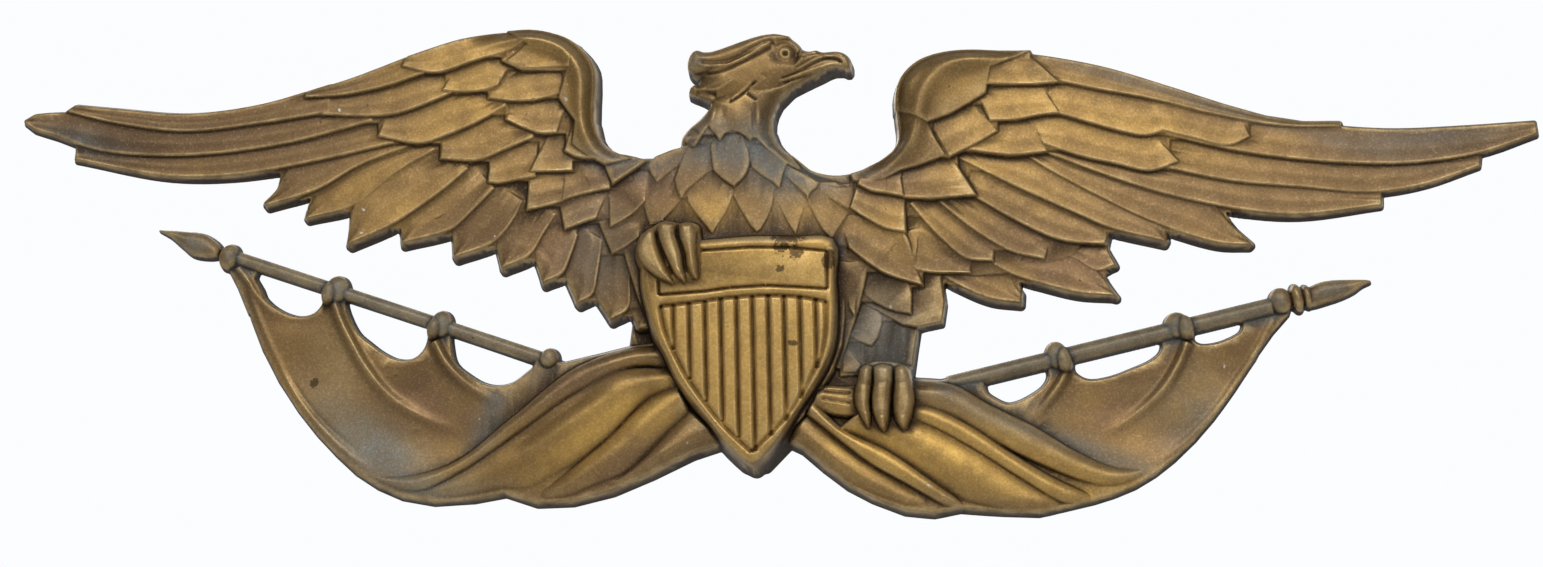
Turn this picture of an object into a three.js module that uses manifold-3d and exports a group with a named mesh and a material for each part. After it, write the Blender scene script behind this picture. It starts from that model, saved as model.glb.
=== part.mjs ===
// A cast metal wall plaque: a spread eagle holding a striped shield and two draped flags.
// Millimetres. Z is up, X runs to the viewer's right, the face looks along -Y, the wall is Y = 0.
// Every place on the face is given as [x, z]; heights are measured out from the wall.
// Each part of the relief is a drafted block that runs down to the wall plane, and all the
// blocks are joined into one casting, which is then hollowed from behind.

import * as THREE from 'three';
import Module from 'manifold-3d';

const wasm = await Module();
wasm.setup();

// Driving sizes

const wingTipHeight = 8;          // wall to face at the ends of the wings
const wingRise = 9;               // how much more the wings stand out beside the body
const wingReach = 345;            // distance from the middle at which the rise begins
const featherDrop = 2.6;          // each feather falls by this much from its lip to its back
const lipFlare = 0.7;             // an inner lip's wall leans out by this much
const rimFlare = 2.6;             // the outer walls of the casting lean out by this much
const shieldHeight = 30;
const shieldFlare = 3.4;
const grooveDepth = 1.8;
const grooveWidth = 2.4;
const panelDepth = 1.4;
const poleRadius = 3.4;
const poleAxisHeight = 7;
const clothHeight = 6;
const pegPocketWidth = 8;
const pegPocketHeight = 14;
const pegPocketDepth = 9;
const cutMargin = 6;              // cutters reach past the faces they cut by this much
const mergeTolerance = 0.2;       // faces this close to one plane become one

// How far the wings' face stands out from the wall at a place

function smoothStep(value) {
  const t = Math.min(1, Math.max(0, value));
  return t * t * (3 - 2 * t);
}

function wingForm(x) {
  return wingTipHeight + wingRise * smoothStep((wingReach - Math.abs(x)) / (wingReach - 80));
}

// Points evenly spaced along a smooth curve through a few named points

function curveThrough(points, steps) {
  if (points.length === 2) {
    return Array.from({ length: steps + 1 }, (unused, i) => mix(points[0], points[1], i / steps));
  }
  const places = points.map(([x, z]) => new THREE.Vector3(x, z, 0));
  const curve = new THREE.CatmullRomCurve3(places, false, 'centripetal');
  return curve.getSpacedPoints(steps).map((p) => [p.x, p.y]);
}

function mix(a, b, t) {
  return a.map((value, i) => value + (b[i] - value) * t);
}

function alongList(list, t) {
  const place = t * (list.length - 1);
  const before = Math.min(list.length - 2, Math.floor(place));
  return list[before] + (list[before + 1] - list[before]) * (place - before);
}

// Signed area of a loop of [x, z] points

function loopArea(loop) {
  let twice = 0;
  loop.forEach(([x, z], i) => {
    const [nextX, nextZ] = loop[(i + 1) % loop.length];
    twice += x * nextZ - nextX * z;
  });
  return twice / 2;
}

// A loop moved outward, to the right of its direction of travel, by a distance

function offsetLoop(loop, distance) {
  return loop.map(([x, z], i) => {
    const [px, pz] = loop[(i + loop.length - 1) % loop.length];
    const [nx, nz] = loop[(i + 1) % loop.length];
    const before = new THREE.Vector2(z - pz, px - x).normalize();
    const after = new THREE.Vector2(nz - z, x - nx).normalize();
    const middle = before.clone().add(after).normalize();
    const stretch = distance / Math.max(0.6, middle.dot(after));
    return [x + middle.x * stretch, z + middle.y * stretch];
  });
}

function solid(places, faces) {
  const mesh = new wasm.Mesh({
    numProp: 3,
    vertProperties: new Float32Array(places.flat()),
    triVerts: new Uint32Array(faces.flat()),
  });
  return new wasm.Manifold(mesh);
}

function fillLoop(loop) {
  return THREE.ShapeUtils.triangulateShape(loop.map(([x, z]) => new THREE.Vector2(x, z)), []);
}

// A closed block from a face sheet: walls from the sheet's border to the wall plane, and a back.
// vertices are [x, z, height]; border lists the numbers of the vertices around the sheet.

function block(vertices, triangles, border, flare) {
  const start = vertices.length;
  const footLoop = offsetLoop(border.map((index) => vertices[index].slice(0, 2)), flare);
  const places = vertices.map(([x, z, height]) => [x, -height, z]);
  footLoop.forEach(([x, z]) => places.push([x, 0, z]));
  const faces = [...triangles];
  border.forEach((index, i) => {
    const next = (i + 1) % border.length;
    faces.push([index, start + i, start + next], [index, start + next, border[next]]);
  });
  fillLoop(footLoop).forEach(([a, b, c]) => faces.push([start + a, start + c, start + b]));
  return solid(places, faces);
}

// A sheet between two side curves, with a cross profile of [place across, height change] pairs.
// Used for feathers, scales, folds, poles, the neck and the claws.

function sheetBlock({ sides, top, profile, steps = 5, flare = lipFlare, form = () => 0 }) {
  const first = curveThrough(sides[0], steps);
  const second = curveThrough(sides[1], steps);
  const across = profile.length;
  const vertices = [];
  for (let i = 0; i <= steps; i += 1) {
    profile.forEach(([place, change]) => {
      const [x, z] = mix(first[i], second[i], place);
      vertices.push([x, z, Math.max(1.5, alongList(top, i / steps) + form(x) + change)]);
    });
  }
  const triangles = [];
  for (let i = 0; i < steps; i += 1) {
    for (let j = 0; j + 1 < across; j += 1) {
      const a = i * across + j;
      triangles.push([a, a + across, a + across + 1], [a, a + across + 1, a + 1]);
    }
  }
  const last = steps * across;
  const border = [
    ...Array.from({ length: steps + 1 }, (unused, i) => i * across),
    ...Array.from({ length: across - 2 }, (unused, j) => last + j + 1),
    ...Array.from({ length: steps + 1 }, (unused, i) => (steps - i) * across + across - 1),
    ...Array.from({ length: across - 2 }, (unused, j) => across - 2 - j),
  ];
  if (loopArea(border.map((index) => vertices[index])) < 0) {
    triangles.forEach((triangle) => triangle.reverse());
    border.reverse();
  }
  return block(vertices, triangles, border, flare);
}

// A plate with an outline, flat or with a height that changes over it

function plateBlock({ outline, height, flare = rimFlare }) {
  const loop = loopArea(outline) < 0 ? [...outline].reverse() : outline;
  const heightAt = typeof height === 'function' ? height : () => height;
  const vertices = loop.map(([x, z]) => [x, z, heightAt(x, z)]);
  return block(vertices, fillLoop(loop), loop.map((unused, i) => i), flare);
}

// A prism between two heights, used to cut hollows and grooves

function prism(outline, low, high) {
  const loop = loopArea(outline) < 0 ? [...outline].reverse() : outline;
  const count = loop.length;
  const places = [...loop.map(([x, z]) => [x, -high, z]), ...loop.map(([x, z]) => [x, -low, z])];
  const triangles = fillLoop(loop);
  const faces = [...triangles, ...triangles.map(([a, b, c]) => [a + count, c + count, b + count])];
  loop.forEach((unused, i) => {
    const next = (i + 1) % count;
    faces.push([i, i + count, next + count], [i, next + count, next]);
  });
  return solid(places, faces);
}

// Cross profiles

const featherProfile = [[0, 0], [0.5, -0.75 * featherDrop], [1, -featherDrop]];
const scaleProfile = [[0, 0], [1, -featherDrop]];

function roundProfile(fall) {
  return [[0, -fall], [0.16, -0.42 * fall], [0.5, 0], [0.84, -0.42 * fall], [1, -fall]];
}

// A feather: lip is its raised edge from root to tip, back is the sunk edge that the next
// feather covers, lift is how far it stands over the form of the wing at its root and tip.

function feather(lip, back, lift, flare = lipFlare, steps = 4) {
  const profile = steps > 4 ? featherProfile : scaleProfile;
  return sheetBlock({ sides: [lip, back], top: lift, profile, steps, flare, form: wingForm });
}

function roundBar(first, second, top, fall, steps = 5, flare = lipFlare) {
  return sheetBlock({ sides: [first, second], top, profile: roundProfile(fall), steps, flare });
}

// The left wing, as the viewer sees it

const leftPrimaries = [
  feather([[-215, 43.5], [-250.1, 38.9], [-290, 35.6], [-324.9, 40.3], [-352.5, 47]],
    [[-215.1, 58.5], [-252.3, 48.8], [-290, 44.8], [-324.8, 47.9], [-348.5, 50.9]],
      [2.5, 0.4], rimFlare, 6),
  feather([[-193, 38.4], [-240, 27.7], [-290, 23], [-335, 26.8], [-373.2, 40.2]],
    [[-193, 52], [-240.1, 42.7], [-299.9, 38.8], [-339.9, 46.2], [-372.5, 44.4]], [1.5, 0], rimFlare, 6),
  feather([[-182, 27], [-220, 19.2], [-265, 12.6], [-300, 13.1], [-347.4, 22.5]],
    [[-182, 40], [-240, 30.5], [-290, 26], [-318, 27], [-346.9, 28.8]], [0.5, -0.3], rimFlare, 6),
];

// A plain web of metal joins the feathers of a wing from behind

function wingWeb(outline) {
  return plateBlock({ outline, height: (x) => wingForm(x) - 3.4, flare: lipFlare });
}

const leftWeb = wingWeb([
  [-60.1, 11.3], [-84.2, 25.9], [-84.5, 59.9], [-97.6, 74.9], [-135, 78.2], [-176, 66],
    [-222.1, 50.6], [-288, 42.4], [-339.9, 45.9], [-345.3, 38.8],
  [-300, 20], [-245, 17], [-225, 10], [-203, 2], [-180, -8], [-152, -13], [-130, -20], [-111.2, -26.1],
  [-96.2, -33.1], [-80, -42], [-62, -50], [-50, -52],
]);

const leftSecondaries = [
  feather([[-173, 26], [-200, 16], [-221, 4.5], [-247.3, -3.4]],
    [[-176, 36], [-235.9, 15.6], [-242.5, 4.6], [-248.7, -1.8]], [-1.2, 0], rimFlare, 6),
  feather([[-160, 24], [-179.5, 13], [-202, -4.2], [-226.3, -10.4]],
    [[-170, 29], [-205, 17], [-221.4, 2.2], [-227.3, -9.4]], [-1.4, -1.4], rimFlare, 6),
  feather([[-143.5, 13.5], [-160, 0], [-183, -15.1], [-204.5, -24.3]],
    [[-158, 26], [-179.5, 15], [-200.5, -0.8], [-205.4, -23.5]], [-1.2, 0.6], rimFlare, 6),
  feather([[-130, 3], [-140.5, -7.5], [-152, -17.5], [-177.2, -24]],
    [[-142, 17], [-160, 3], [-177, -10.8], [-177.6, -21.9]], [-1.4, -1], rimFlare, 6),
  feather([[-115.5, -3.5], [-120.5, -13.5], [-130.3, -24.6], [-149.8, -31.6]],
    [[-129, 6], [-141, -4], [-150.5, -14], [-150.8, -30]], [-1.6, -1.6], rimFlare, 6),
  feather([[-98.5, -10.5], [-104.5, -20], [-111.7, -31.4], [-125.9, -37.8]],
    [[-114, 0], [-120.5, -10], [-128.7, -22.3], [-126.7, -36.4]], [-1.6, -1], rimFlare, 6),
  feather([[-87.5, -21.5], [-91, -32], [-95.1, -40.8], [-105.1, -45.5]],
    [[-97, -8], [-104, -16], [-109.4, -28.3], [-105.8, -44]], [-1.6, -0.4], rimFlare, 5),
  feather([[-75, -24], [-77.5, -42], [-79.9, -51.5], [-87.3, -56]],
    [[-87, -16], [-90.5, -30], [-94, -39], [-88.4, -54.8]], [-1.6, -1.2], rimFlare, 5),
  feather([[-60.5, -27], [-61, -44], [-61.7, -58.9], [-70.8, -64.6]],
    [[-74, -20], [-77, -40], [-79, -50], [-71.7, -63.3]], [-1.4, -1], rimFlare, 5),
  feather([[-46, -30], [-48, -45], [-50.6, -66.6], [-56.5, -69.1]],
    [[-60, -26], [-60.5, -42], [-61.1, -56.5], [-57.7, -68.1]], [-1.4, -1.4], rimFlare, 5),
];

const leftCoverts = [
  feather([[-166, 62], [-185, 56], [-207.1, 52.2], [-228, 51.5]],
    [[-167.8, 73.6], [-180, 69.2], [-205.2, 60.6], [-227.1, 54.7]], [4.8, 3.6], rimFlare),
  feather([[-150, 52.6], [-165, 46.5], [-182, 41.4], [-200, 41], [-219, 42.3]],
    [[-158, 64], [-170, 62], [-190, 56.2], [-213.1, 53.4]], [3.2, 2.6]),
  feather([[-124, 44.4], [-140, 36], [-155, 30], [-168, 26.3], [-190, 30.5]],
    [[-126, 56], [-152, 54], [-170, 47], [-185, 43]], [2.2, 1.8]),
  feather([[-110, 28.2], [-125, 22.2], [-138, 17.2], [-158, 18.2]],
    [[-112, 42], [-124, 44.4], [-140, 37], [-156, 31]], [1.4, 1]),
  feather([[-109, 8.3], [-118, 6.8], [-128, 5.3], [-133.4, 6]],
    [[-108, 27], [-118, 25], [-127, 22], [-132, 19]], [0.8, 0.4]),
  feather([[-95, -4.6], [-104, -7], [-113.4, -8.8]],
    [[-94, 12], [-104, 12], [-112, 9.5]], [0.8, 0.6]),
];

const leftScales = [
  feather([[-112, 78.8], [-121.5, 73], [-140, 67.6], [-160, 61.9], [-177.5, 65.8]],
    [[-112, 83], [-128, 82.9], [-150, 78.7], [-174.9, 71.1]], [6, 5.4], rimFlare),
  feather([[-92, 63.5], [-106, 63], [-117, 63.4], [-126.5, 67.3]],
    [[-89.7, 76.8], [-103.7, 76.9], [-117, 74.9], [-123, 72]], [6.4, 5.6]),
  feather([[-128, 55], [-133, 53], [-145, 51.8], [-157, 53]],
    [[-122, 66], [-135, 71], [-145, 67], [-151, 63]], [4.4, 3.8]),
  feather([[-97, 49.6], [-107, 47.2], [-120, 46.6], [-133.5, 48.5]],
    [[-93.9, 65.1], [-106, 65], [-117, 63.5], [-128, 57]], [4.8, 3.6]),
  feather([[-98, 30], [-107, 30], [-115, 33], [-124.5, 37.7]],
    [[-92, 50], [-104, 50], [-113, 48.5], [-121, 43.5]], [3.6, 2.8]),
  feather([[-89, 36.5], [-93, 43], [-97, 50]],
    [[-82.9, 59.8], [-88, 62], [-95, 62]], [5.6, 5]),
  feather([[-90, 10.7], [-101, 10.6], [-112, 10.8]],
    [[-90, 31], [-97, 31], [-103, 29]], [2.4, 1.6]),
  feather([[-74.9, 16.2], [-82, 16.4], [-88, 17.4], [-94, 20.5]],
    [[-79.6, 35.6], [-82.2, 37.9], [-86.2, 38], [-90, 35]], [5.2, 4.4]),
  feather([[-71, 1.5], [-80, -0.2], [-88, -2], [-95.5, -4.4]],
    [[-73.5, 17.6], [-80.2, 17.9], [-88, 17], [-94, 11]], [2.2, 1]),
  feather([[-78, -13.5], [-84, -15.2], [-94, -19]],
    [[-72, 1.5], [-84, 0.5], [-97, -5]], [1.2, 0.4]),
  feather([[-53, -5.5], [-58, -10.5], [-64, -14.6], [-71, -18]],
    [[-52, 8.4], [-60.1, 8.6], [-68, 5], [-72, 0]], [3.2, 1.2]),
  feather([[-56, -23.5], [-63, -28.3], [-70, -31.5]],
    [[-56, -8], [-68, -12], [-77, -15]], [2.4, 0.4]),
  feather([[-51.9, 12], [-60.1, 9.2], [-69.5, 3.2]],
    [[-58.2, 16.7], [-68.4, 18.6], [-75.4, 16.7]], [5.6, 4.2]),
];

// The right wing

const rightPrimaries = [
  feather([[138.1, 56.8], [172, 49.2], [200.2, 44.1], [230.3, 36.5], [265.1, 30.3], [293.5, 29.6]],
    [[138.2, 67.7], [176.1, 60.7], [208.6, 51], [240.5, 40.5], [268.1, 33], [294, 32.3]],
      [5, 0.8], rimFlare, 6),
  feather([[207, 26], [245, 17.2], [290, 11.8], [330, 11.2], [364.3, 16.6], [390.6, 25.7]],
    [[207.2, 40.5], [245.5, 37.3], [290.1, 30.6], [320, 28.7], [354.9, 29.8], [390.3, 32]],
      [2, -0.2], rimFlare, 6),
  feather([[207, 9.3], [240, 2.5], [275, -0.7], [308.1, -3.4], [335, 0.5], [362.2, 9.9]],
    [[207, 25], [245, 20], [290, 14.5], [325, 14.1], [345, 15.7], [363, 15.5]], [1, -0.8], rimFlare, 6),
  feather([[147, 17.5], [180, 4.8], [210, -4.7], [249.8, -12.8], [275, -14.2], [313, -9.5]],
    [[147, 30], [185, 14], [215, 11], [250, 4.5], [285, 1.5], [313.3, -3.7]], [0, 0.4], rimFlare, 6),
];

const rightWeb = wingWeb([
  [59.3, 5.8], [75.6, 14.5], [78.7, 57.2], [97.9, 65.9], [130, 67], [176.1, 58], [230.5, 39.2],
    [280, 29.9], [339.9, 27.3], [379.9, 28.6],
  [350, 16.1], [300, 8], [249.9, -6.5], [236, -4], [212, -14], [183.9, -16.1], [170, -22],
    [160, -34], [136, -42],
  [112, -44], [96.9, -42.8], [60, -50], [48, -30],
]);

const rightSecondaries = [
  feather([[138, 15.8], [150, 8], [170, -3.1], [200, -17.9], [232, -28.5], [247.7, -29.6]],
    [[143, 25], [170, 12], [205, 1], [229, -8.5], [238.6, -19.6], [248.6, -28.8]], [-1, 0.6], rimFlare, 6),
  feather([[102, 16], [120, 6.4], [140, -3.4], [160, -12.5], [179.7, -21.2], [205.8, -27.7]],
    [[118, 20], [138, 18], [160, 5], [185, -7], [204.7, -18.6], [206.6, -26.2]], [-0.8, 0.8], rimFlare, 6),
  feather([[112, -5], [130, -15.7], [150, -25.4], [161, -28], [176.2, -28.7]],
    [[102, 12], [130, 3.5], [155, -7.5], [172, -15], [178.1, -22.2]], [-0.6, -0.6], rimFlare, 6),
  feather([[153, -32.3], [162, -36.4], [171.8, -41.9], [180.9, -38.9]],
    [[150, -24], [160, -26], [171.7, -27], [177.2, -31.6]], [-3.5, -3], rimFlare, 5),
  feather([[120, -38.3], [129.9, -43.6], [147.9, -49.5], [163.4, -53.4], [179.8, -54.4]],
    [[121, -26], [140, -30], [155, -31], [170, -40], [181.6, -54.9]], [-3.2, -1.4], rimFlare, 6),
  feather([[92.5, -6], [106, -17.5], [120, -27.2], [130, -32.5], [146, -36]],
    [[101, 3], [118, -6], [135, -16.5], [148, -23], [149, -27]], [-0.6, -2], lipFlare, 6),
  feather([[79, -7.8], [87, -17.4], [97, -27.8], [107, -35.5], [120.5, -36.9]],
    [[88, 0], [97, -9], [108, -17], [116, -24], [121.5, -29]], [-0.2, -1.6], lipFlare, 6),
  feather([[95.4, -44.2], [106.2, -50.4], [119.6, -55.8], [134, -57.8]],
    [[104, -34], [115, -38], [126, -43], [134.3, -53.1]], [-3.6, -2.6], rimFlare, 6),
  feather([[82, -41.5], [91, -42.8], [100, -42.8], [109.5, -42.8]],
    [[77, -22], [84, -20], [98, -30], [108, -36.5]], [0.8, -2.2], rimFlare, 5),
];

const rightCoverts = [
  feather([[116, 51.5], [130, 51.2], [142, 51.2], [154.6, 52.3]],
    [[107.9, 69.8], [120, 69.8], [130, 69.6], [137.2, 68.6]], [6, 5.6], rimFlare),
  feather([[154, 36.5], [170, 31.7], [184, 27.7], [197, 25.4], [208, 28.5]],
    [[146, 53.2], [165.1, 52.9], [182.1, 48.9], [197.2, 45.7]], [3.8, 2.8]),
  feather([[205, 28], [220, 24.2], [238, 20.3], [249.1, 24.8]],
    [[197.2, 45.7], [215.5, 44.2], [230.5, 39.2], [244.4, 35.7]], [3, 2.4]),
  feather([[145.8, 21.5], [165, 15], [182, 11.2], [199, 7.7], [213.5, 12.4]],
    [[140, 35], [160, 36], [180, 30], [200.5, 27]], [2.6, 1.8]),
  feather([[119.5, 33], [132, 33.4], [146, 36], [154.5, 36.8]],
    [[112, 50], [122, 53], [134, 53], [145.3, 51.5]], [4.6, 4.2]),
  feather([[109, 18.5], [122, 16.6], [131, 15.8], [148, 17.6]],
    [[111, 36], [120, 36], [130, 35.5], [140, 35.5]], [3, 2.4]),
];

const rightScales = [
  feather([[88, 33.7], [99, 36.7], [109, 42], [117.6, 47.2]],
    [[90.9, 60.6], [95.9, 62.8], [100.9, 63.3], [107, 60.8]], [5.6, 5]),
  feather([[99, 14.8], [105, 17.8], [113, 21.8], [123.5, 28]],
    [[88, 35], [98, 39], [106, 42], [111.5, 41.5]], [4.2, 3.8]),
  feather([[74, 11.3], [84, 12.2], [90, 14.6], [97, 18.3]],
    [[76.3, 42.1], [82, 42], [86, 38], [89, 34]], [4.2, 3.4]),
  feather([[76.5, -5.2], [90, -5.8], [102, -4.9], [112.5, -4.2]],
    [[74.5, 12.7], [84, 14.5], [92, 18], [99.5, 16.5]], [2.6, 2.2]),
  feather([[53.5, 1.3], [59.8, -1.7], [67.9, -3], [76.5, -4.8]],
    [[55.2, 9.2], [60.8, 11.3], [66.6, 13], [73.9, 11.7]], [5.4, 3.4]),
  feather([[49.5, -10.3], [58, -15.8], [67, -20.6], [77.3, -22.6]],
    [[53.5, 2.2], [59.7, -0.2], [67.9, -1.7], [76.5, -4]], [4, 2.2]),
  feather([[49, -30.5], [59.5, -38.7], [68, -43.8], [85.5, -49.3]],
    [[44, -16], [54, -13], [66, -20], [76.5, -23], [82.5, -41]], [3.6, 1.8], lipFlare, 6),
];

// The right thigh and leg

const thighBlock = plateBlock({
  outline: [[50, -32], [70, -40], [94.4, -43.8], [95.1, -51.6], [95.6, -60], [94.6, -67.4], [86, -69],
    [82.6, -69.8], [80.9, -79.9], [79.3, -92], [44, -94], [44, -60]],
  height: (x) => 16 - 3 * smoothStep((x - 50) / 50),
  flare: 2,
});

const thighScales = [
  feather([[54, -52.5], [62, -57.5], [70, -61], [79.3, -63.1]],
    [[52, -36], [60, -42], [70, -47], [79, -50.5]], [0.6, 0.2]),
  feather([[54, -57], [64.5, -62.7], [75.5, -68.4], [84, -68.8]],
    [[56, -50], [66, -57], [75, -60], [84, -56]], [-0.6, -0.8]),
  feather([[47, -73.5], [54.5, -77.3], [61, -79.6], [65, -65.5]],
    [[47, -60], [53, -60], [58, -61], [62, -62]], [-0.6, -0.8]),
];

// Shoulders: the rolled leading edges beside the neck

const leftShoulder = roundBar(
  [[-64.3, 17.3], [-75, 23.6], [-80.2, 43.9], [-80.7, 65.4], [-91.7, 78], [-113, 84], [-140, 81.4],
    [-173.8, 70.5]],
  [[-82, 16], [-90, 26], [-92, 44], [-94, 58], [-101, 64], [-118, 70], [-140, 71], [-168, 63]],
  [19, 21.5, 22.5, 22, 21.5, 20, 18], 8, 11, rimFlare,
);

const rightShoulder = roundBar(
  [[55.2, 9.7], [65.5, 15.1], [74.3, 26], [72.7, 48.1], [82.4, 64.1], [99.9, 69.5], [125, 69.6],
    [153.4, 67.4]],
  [[57.7, -1.1], [73.9, 2.2], [90, 22], [92, 42], [97, 56.2], [106, 59.3], [125, 60], [150.1, 56.5]],
  [18, 20, 21.5, 22, 21.5, 20.5, 18], 8, 11, rimFlare,
);

// Breast, neck and head

const bodyBlock = sheetBlock({
  sides: [
    [[-32.5, 29.7], [-33.8, 24.2], [-37.3, 16.7], [-51.9, 12.9], [-66, -10], [-58, -50], [-40, -90]],
    [[9.3, 29.5], [11.3, 22.7], [17.1, 15], [24.1, 9.1], [49.8, 4.7], [58, -40], [44, -90]],
  ],
  top: [22, 23, 24, 25, 24, 22, 20],
  profile: roundProfile(6),
  steps: 9,
  flare: rimFlare,
});

const neckBlock = sheetBlock({
  sides: [
    [[-18.7, 53.3], [-20.2, 43.7], [-23.6, 39.9], [-29.8, 33.5], [-33.9, 25.9], [-30, 12]],
    [[20.7, 52.1], [13, 44.7], [9.9, 38.1], [9.2, 29.5], [10.5, 22.8], [20.9, 8.9]],
  ],
  top: [24, 22.5, 22, 22, 23, 24],
  profile: roundProfile(9),
  steps: 7,
  flare: rimFlare,
});

const headBlock = sheetBlock({
  sides: [
    [[-16.3, 69.2], [-0.1, 75.5], [11, 79.7], [19.9, 77.6], [25.6, 71.2]],
    [[-18.4, 47.4], [0, 44], [11.2, 46], [20, 51.5], [28.4, 55.3]],
  ],
  top: [24, 28, 29, 28, 25],
  profile: roundProfile(9),
  steps: 7,
  flare: 1.6,
});

const upperBeak = sheetBlock({
  sides: [
    [[20.9, 71.7], [28.2, 70.2], [34.2, 70.1], [41, 70], [46.9, 68.7], [50, 63.9], [49.6, 60.9]],
    [[12, 56], [22.1, 57.8], [30.1, 61.6], [37, 64.9], [42.3, 64.8], [46.5, 61.1], [48.1, 60.6]],
  ],
  top: [27, 26.5, 26, 25, 24, 22, 20],
  profile: roundProfile(4),
  steps: 8,
  flare: 1.6,
});

const lowerBeak = sheetBlock({
  sides: [
    [[12, 57], [22.1, 59.3], [31.1, 62.2], [42.3, 63.5]],
    [[11.4, 46.9], [21.7, 52.1], [33.9, 58.2], [46, 61.5]],
  ],
  top: [25, 24, 22, 19],
  profile: roundProfile(4),
  steps: 5,
  flare: 1.6,
});

const crestUpper = sheetBlock({
  sides: [
    [[14.3, 78.4], [5.9, 78.2], [-5.2, 74.8], [-15.5, 71.8], [-25.1, 71], [-31.3, 68.8]],
    [[16.5, 74.1], [6, 71.1], [-5.1, 65.3], [-14.1, 62], [-24.5, 61.2], [-31, 60.9]],
  ],
  top: [27, 29, 29, 27, 25, 22],
  profile: roundProfile(4),
  steps: 7,
  flare: 1.6,
});

const crestLower = sheetBlock({
  sides: [
    [[-4, 60], [-14.7, 57.6], [-25, 57.3], [-30.2, 50.2]],
    [[-6, 49], [-14.2, 46.7], [-21.8, 46.3], [-29.6, 48.9]],
  ],
  top: [26, 24, 22, 19],
  profile: roundProfile(4),
  steps: 4,
  flare: 1.6,
});

const browRidge = roundBar(
  [[4, 71.4], [12.1, 75.6], [21, 75], [26.4, 67.7]],
  [[5, 69.3], [12.1, 72.6], [19.9, 72.1], [23.8, 64.9]],
  [28.5, 30.5, 30.5, 28], 1.2, 4,
);

const eyeBall = roundBar(
  [[14.9, 68.9], [16.5, 71.9], [19.9, 72.1], [21.2, 69.2]],
  [[15.1, 68.5], [16.3, 66], [19.5, 66.2], [20.9, 68.7]],
  [28, 30, 30, 28], 0.8, 3,
);

const cheekFeather = sheetBlock({
  sides: [
    [[3, 54.5], [-1, 50.2], [-6, 46.5], [-11.2, 44.2]],
    [[5, 57], [-2, 55], [-8, 51], [-13.2, 48.2]],
  ],
  top: [28.6, 28, 26],
  profile: [[0, 0], [1, -1.5]],
  steps: 3,
});

// Breast scales: each hangs from a sunk upper edge to a raised point

function scale(left, tip, right, rootRise, top) {
  const rootLeft = [left[0] + 3, left[1] + rootRise];
  const rootRight = [right[0] - 3, right[1] + rootRise];
  return sheetBlock({
    sides: [[left, tip, right], [rootLeft, mix(rootLeft, rootRight, 0.5), rootRight]],
    top: [top - 0.8, top, top - 0.8],
    profile: [[0, 0], [1, -featherDrop]],
    steps: 6,
    flare: lipFlare,
  });
}

const breastScales = [
  scale([-28.7, 22.1], [-28.7, 21.5], [-21.1, 30.2], 8, 21),
  scale([-21.1, 30.2], [-15.7, 24.5], [-9.5, 29], 6, 23),
  scale([-9.5, 29], [-0.5, 23.4], [3.7, 25.9], 7, 24),
  scale([3.7, 25.9], [10.9, 17.3], [22.2, 11.2], 8, 22.5),
  scale([-56, 7.6], [-46.5, 3.4], [-33, 14.8], 10, 22.5),
  scale([-34.8, 13.7], [-8, 0.4], [0, 12], 14, 24.6),
  scale([0, 12], [16, -1.2], [19.6, 5.6], 12, 24.4),
  scale([13.8, 9.8], [28, -5.4], [33.7, 0.8], 10, 23.6),
  scale([-56, 5.7], [-43, -14], [-20, 10], 8, 24),
  scale([-31, -5], [-19, -23.2], [-9, -6], 12, 26),
  scale([-9, -6], [3, -22.8], [12, -6], 12, 26),
  scale([12, -6], [22.5, -24.3], [28, -8], 10, 25.2),
  scale([28, -8], [39.6, -26.2], [50, -11.6], 12, 24.4),
  scale([33.8, -0.8], [43, -5], [53.6, 0.3], 8, 22.6),
];

// The shield

const shieldOutline = [
  [-54, -27.5], [-23, -27], [0, -25.4], [21, -25.8], [41, -27.4], [42, -48], [42.4, -66], [41, -80],
  [36, -92.6], [30, -102], [22.5, -113], [14.6, -124.9], [2.6, -138], [0.7, -138.7], [-11, -128.8],
  [-20.3, -117.5], [-29, -107], [-36.3, -97], [-41.8, -85], [-46.8, -75.5], [-50.5, -64.3], [-54, -50],
];

const panelOutline = [
  [-46, -32.8], [-22, -32.2], [0, -30.9], [20, -31.2], [38.4, -33.2], [38.5, -52.2], [25, -51.2],
  [8, -50.2], [-10, -51.2], [-22, -52.8], [-45, -54.4],
];

const stripeField = {
  left: [[-44.5, -60], [-42, -72], [-37.5, -83], [-30, -97], [-22, -108.5], [-13.5, -119], [1, -133]],
  right: [[38, -58.4], [37.6, -75], [35.5, -85], [32, -93], [27.5, -101.5], [20, -114], [1, -133]],
  arch: [[-44.5, -60], [-30, -58.4], [-10, -56], [8, -55], [25, -56], [38, -58.4]],
  firstStripe: -38,
  stripePitch: 7.85,
  stripeCount: 10,
  lean: 0.022,
};

function crossing(points, x) {
  for (let i = 0; i + 1 < points.length; i += 1) {
    const [a, b] = [points[i], points[i + 1]];
    if (x >= Math.min(a[0], b[0]) && x <= Math.max(a[0], b[0]) && a[0] !== b[0]) {
      return a[1] + (b[1] - a[1]) * (x - a[0]) / (b[0] - a[0]);
    }
  }
  return null;
}

function ribbon(points, width) {
  const half = width / 2;
  const sideA = offsetLine(points, half);
  const sideB = offsetLine(points, -half).reverse();
  return [...sideA, ...sideB];
}

function offsetLine(points, distance) {
  return points.map(([x, z], i) => {
    const before = points[Math.max(0, i - 1)];
    const after = points[Math.min(points.length - 1, i + 1)];
    const normal = new THREE.Vector2(after[1] - before[1], before[0] - after[0]).normalize();
    return [x + normal.x * distance, z + normal.y * distance];
  });
}

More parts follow.
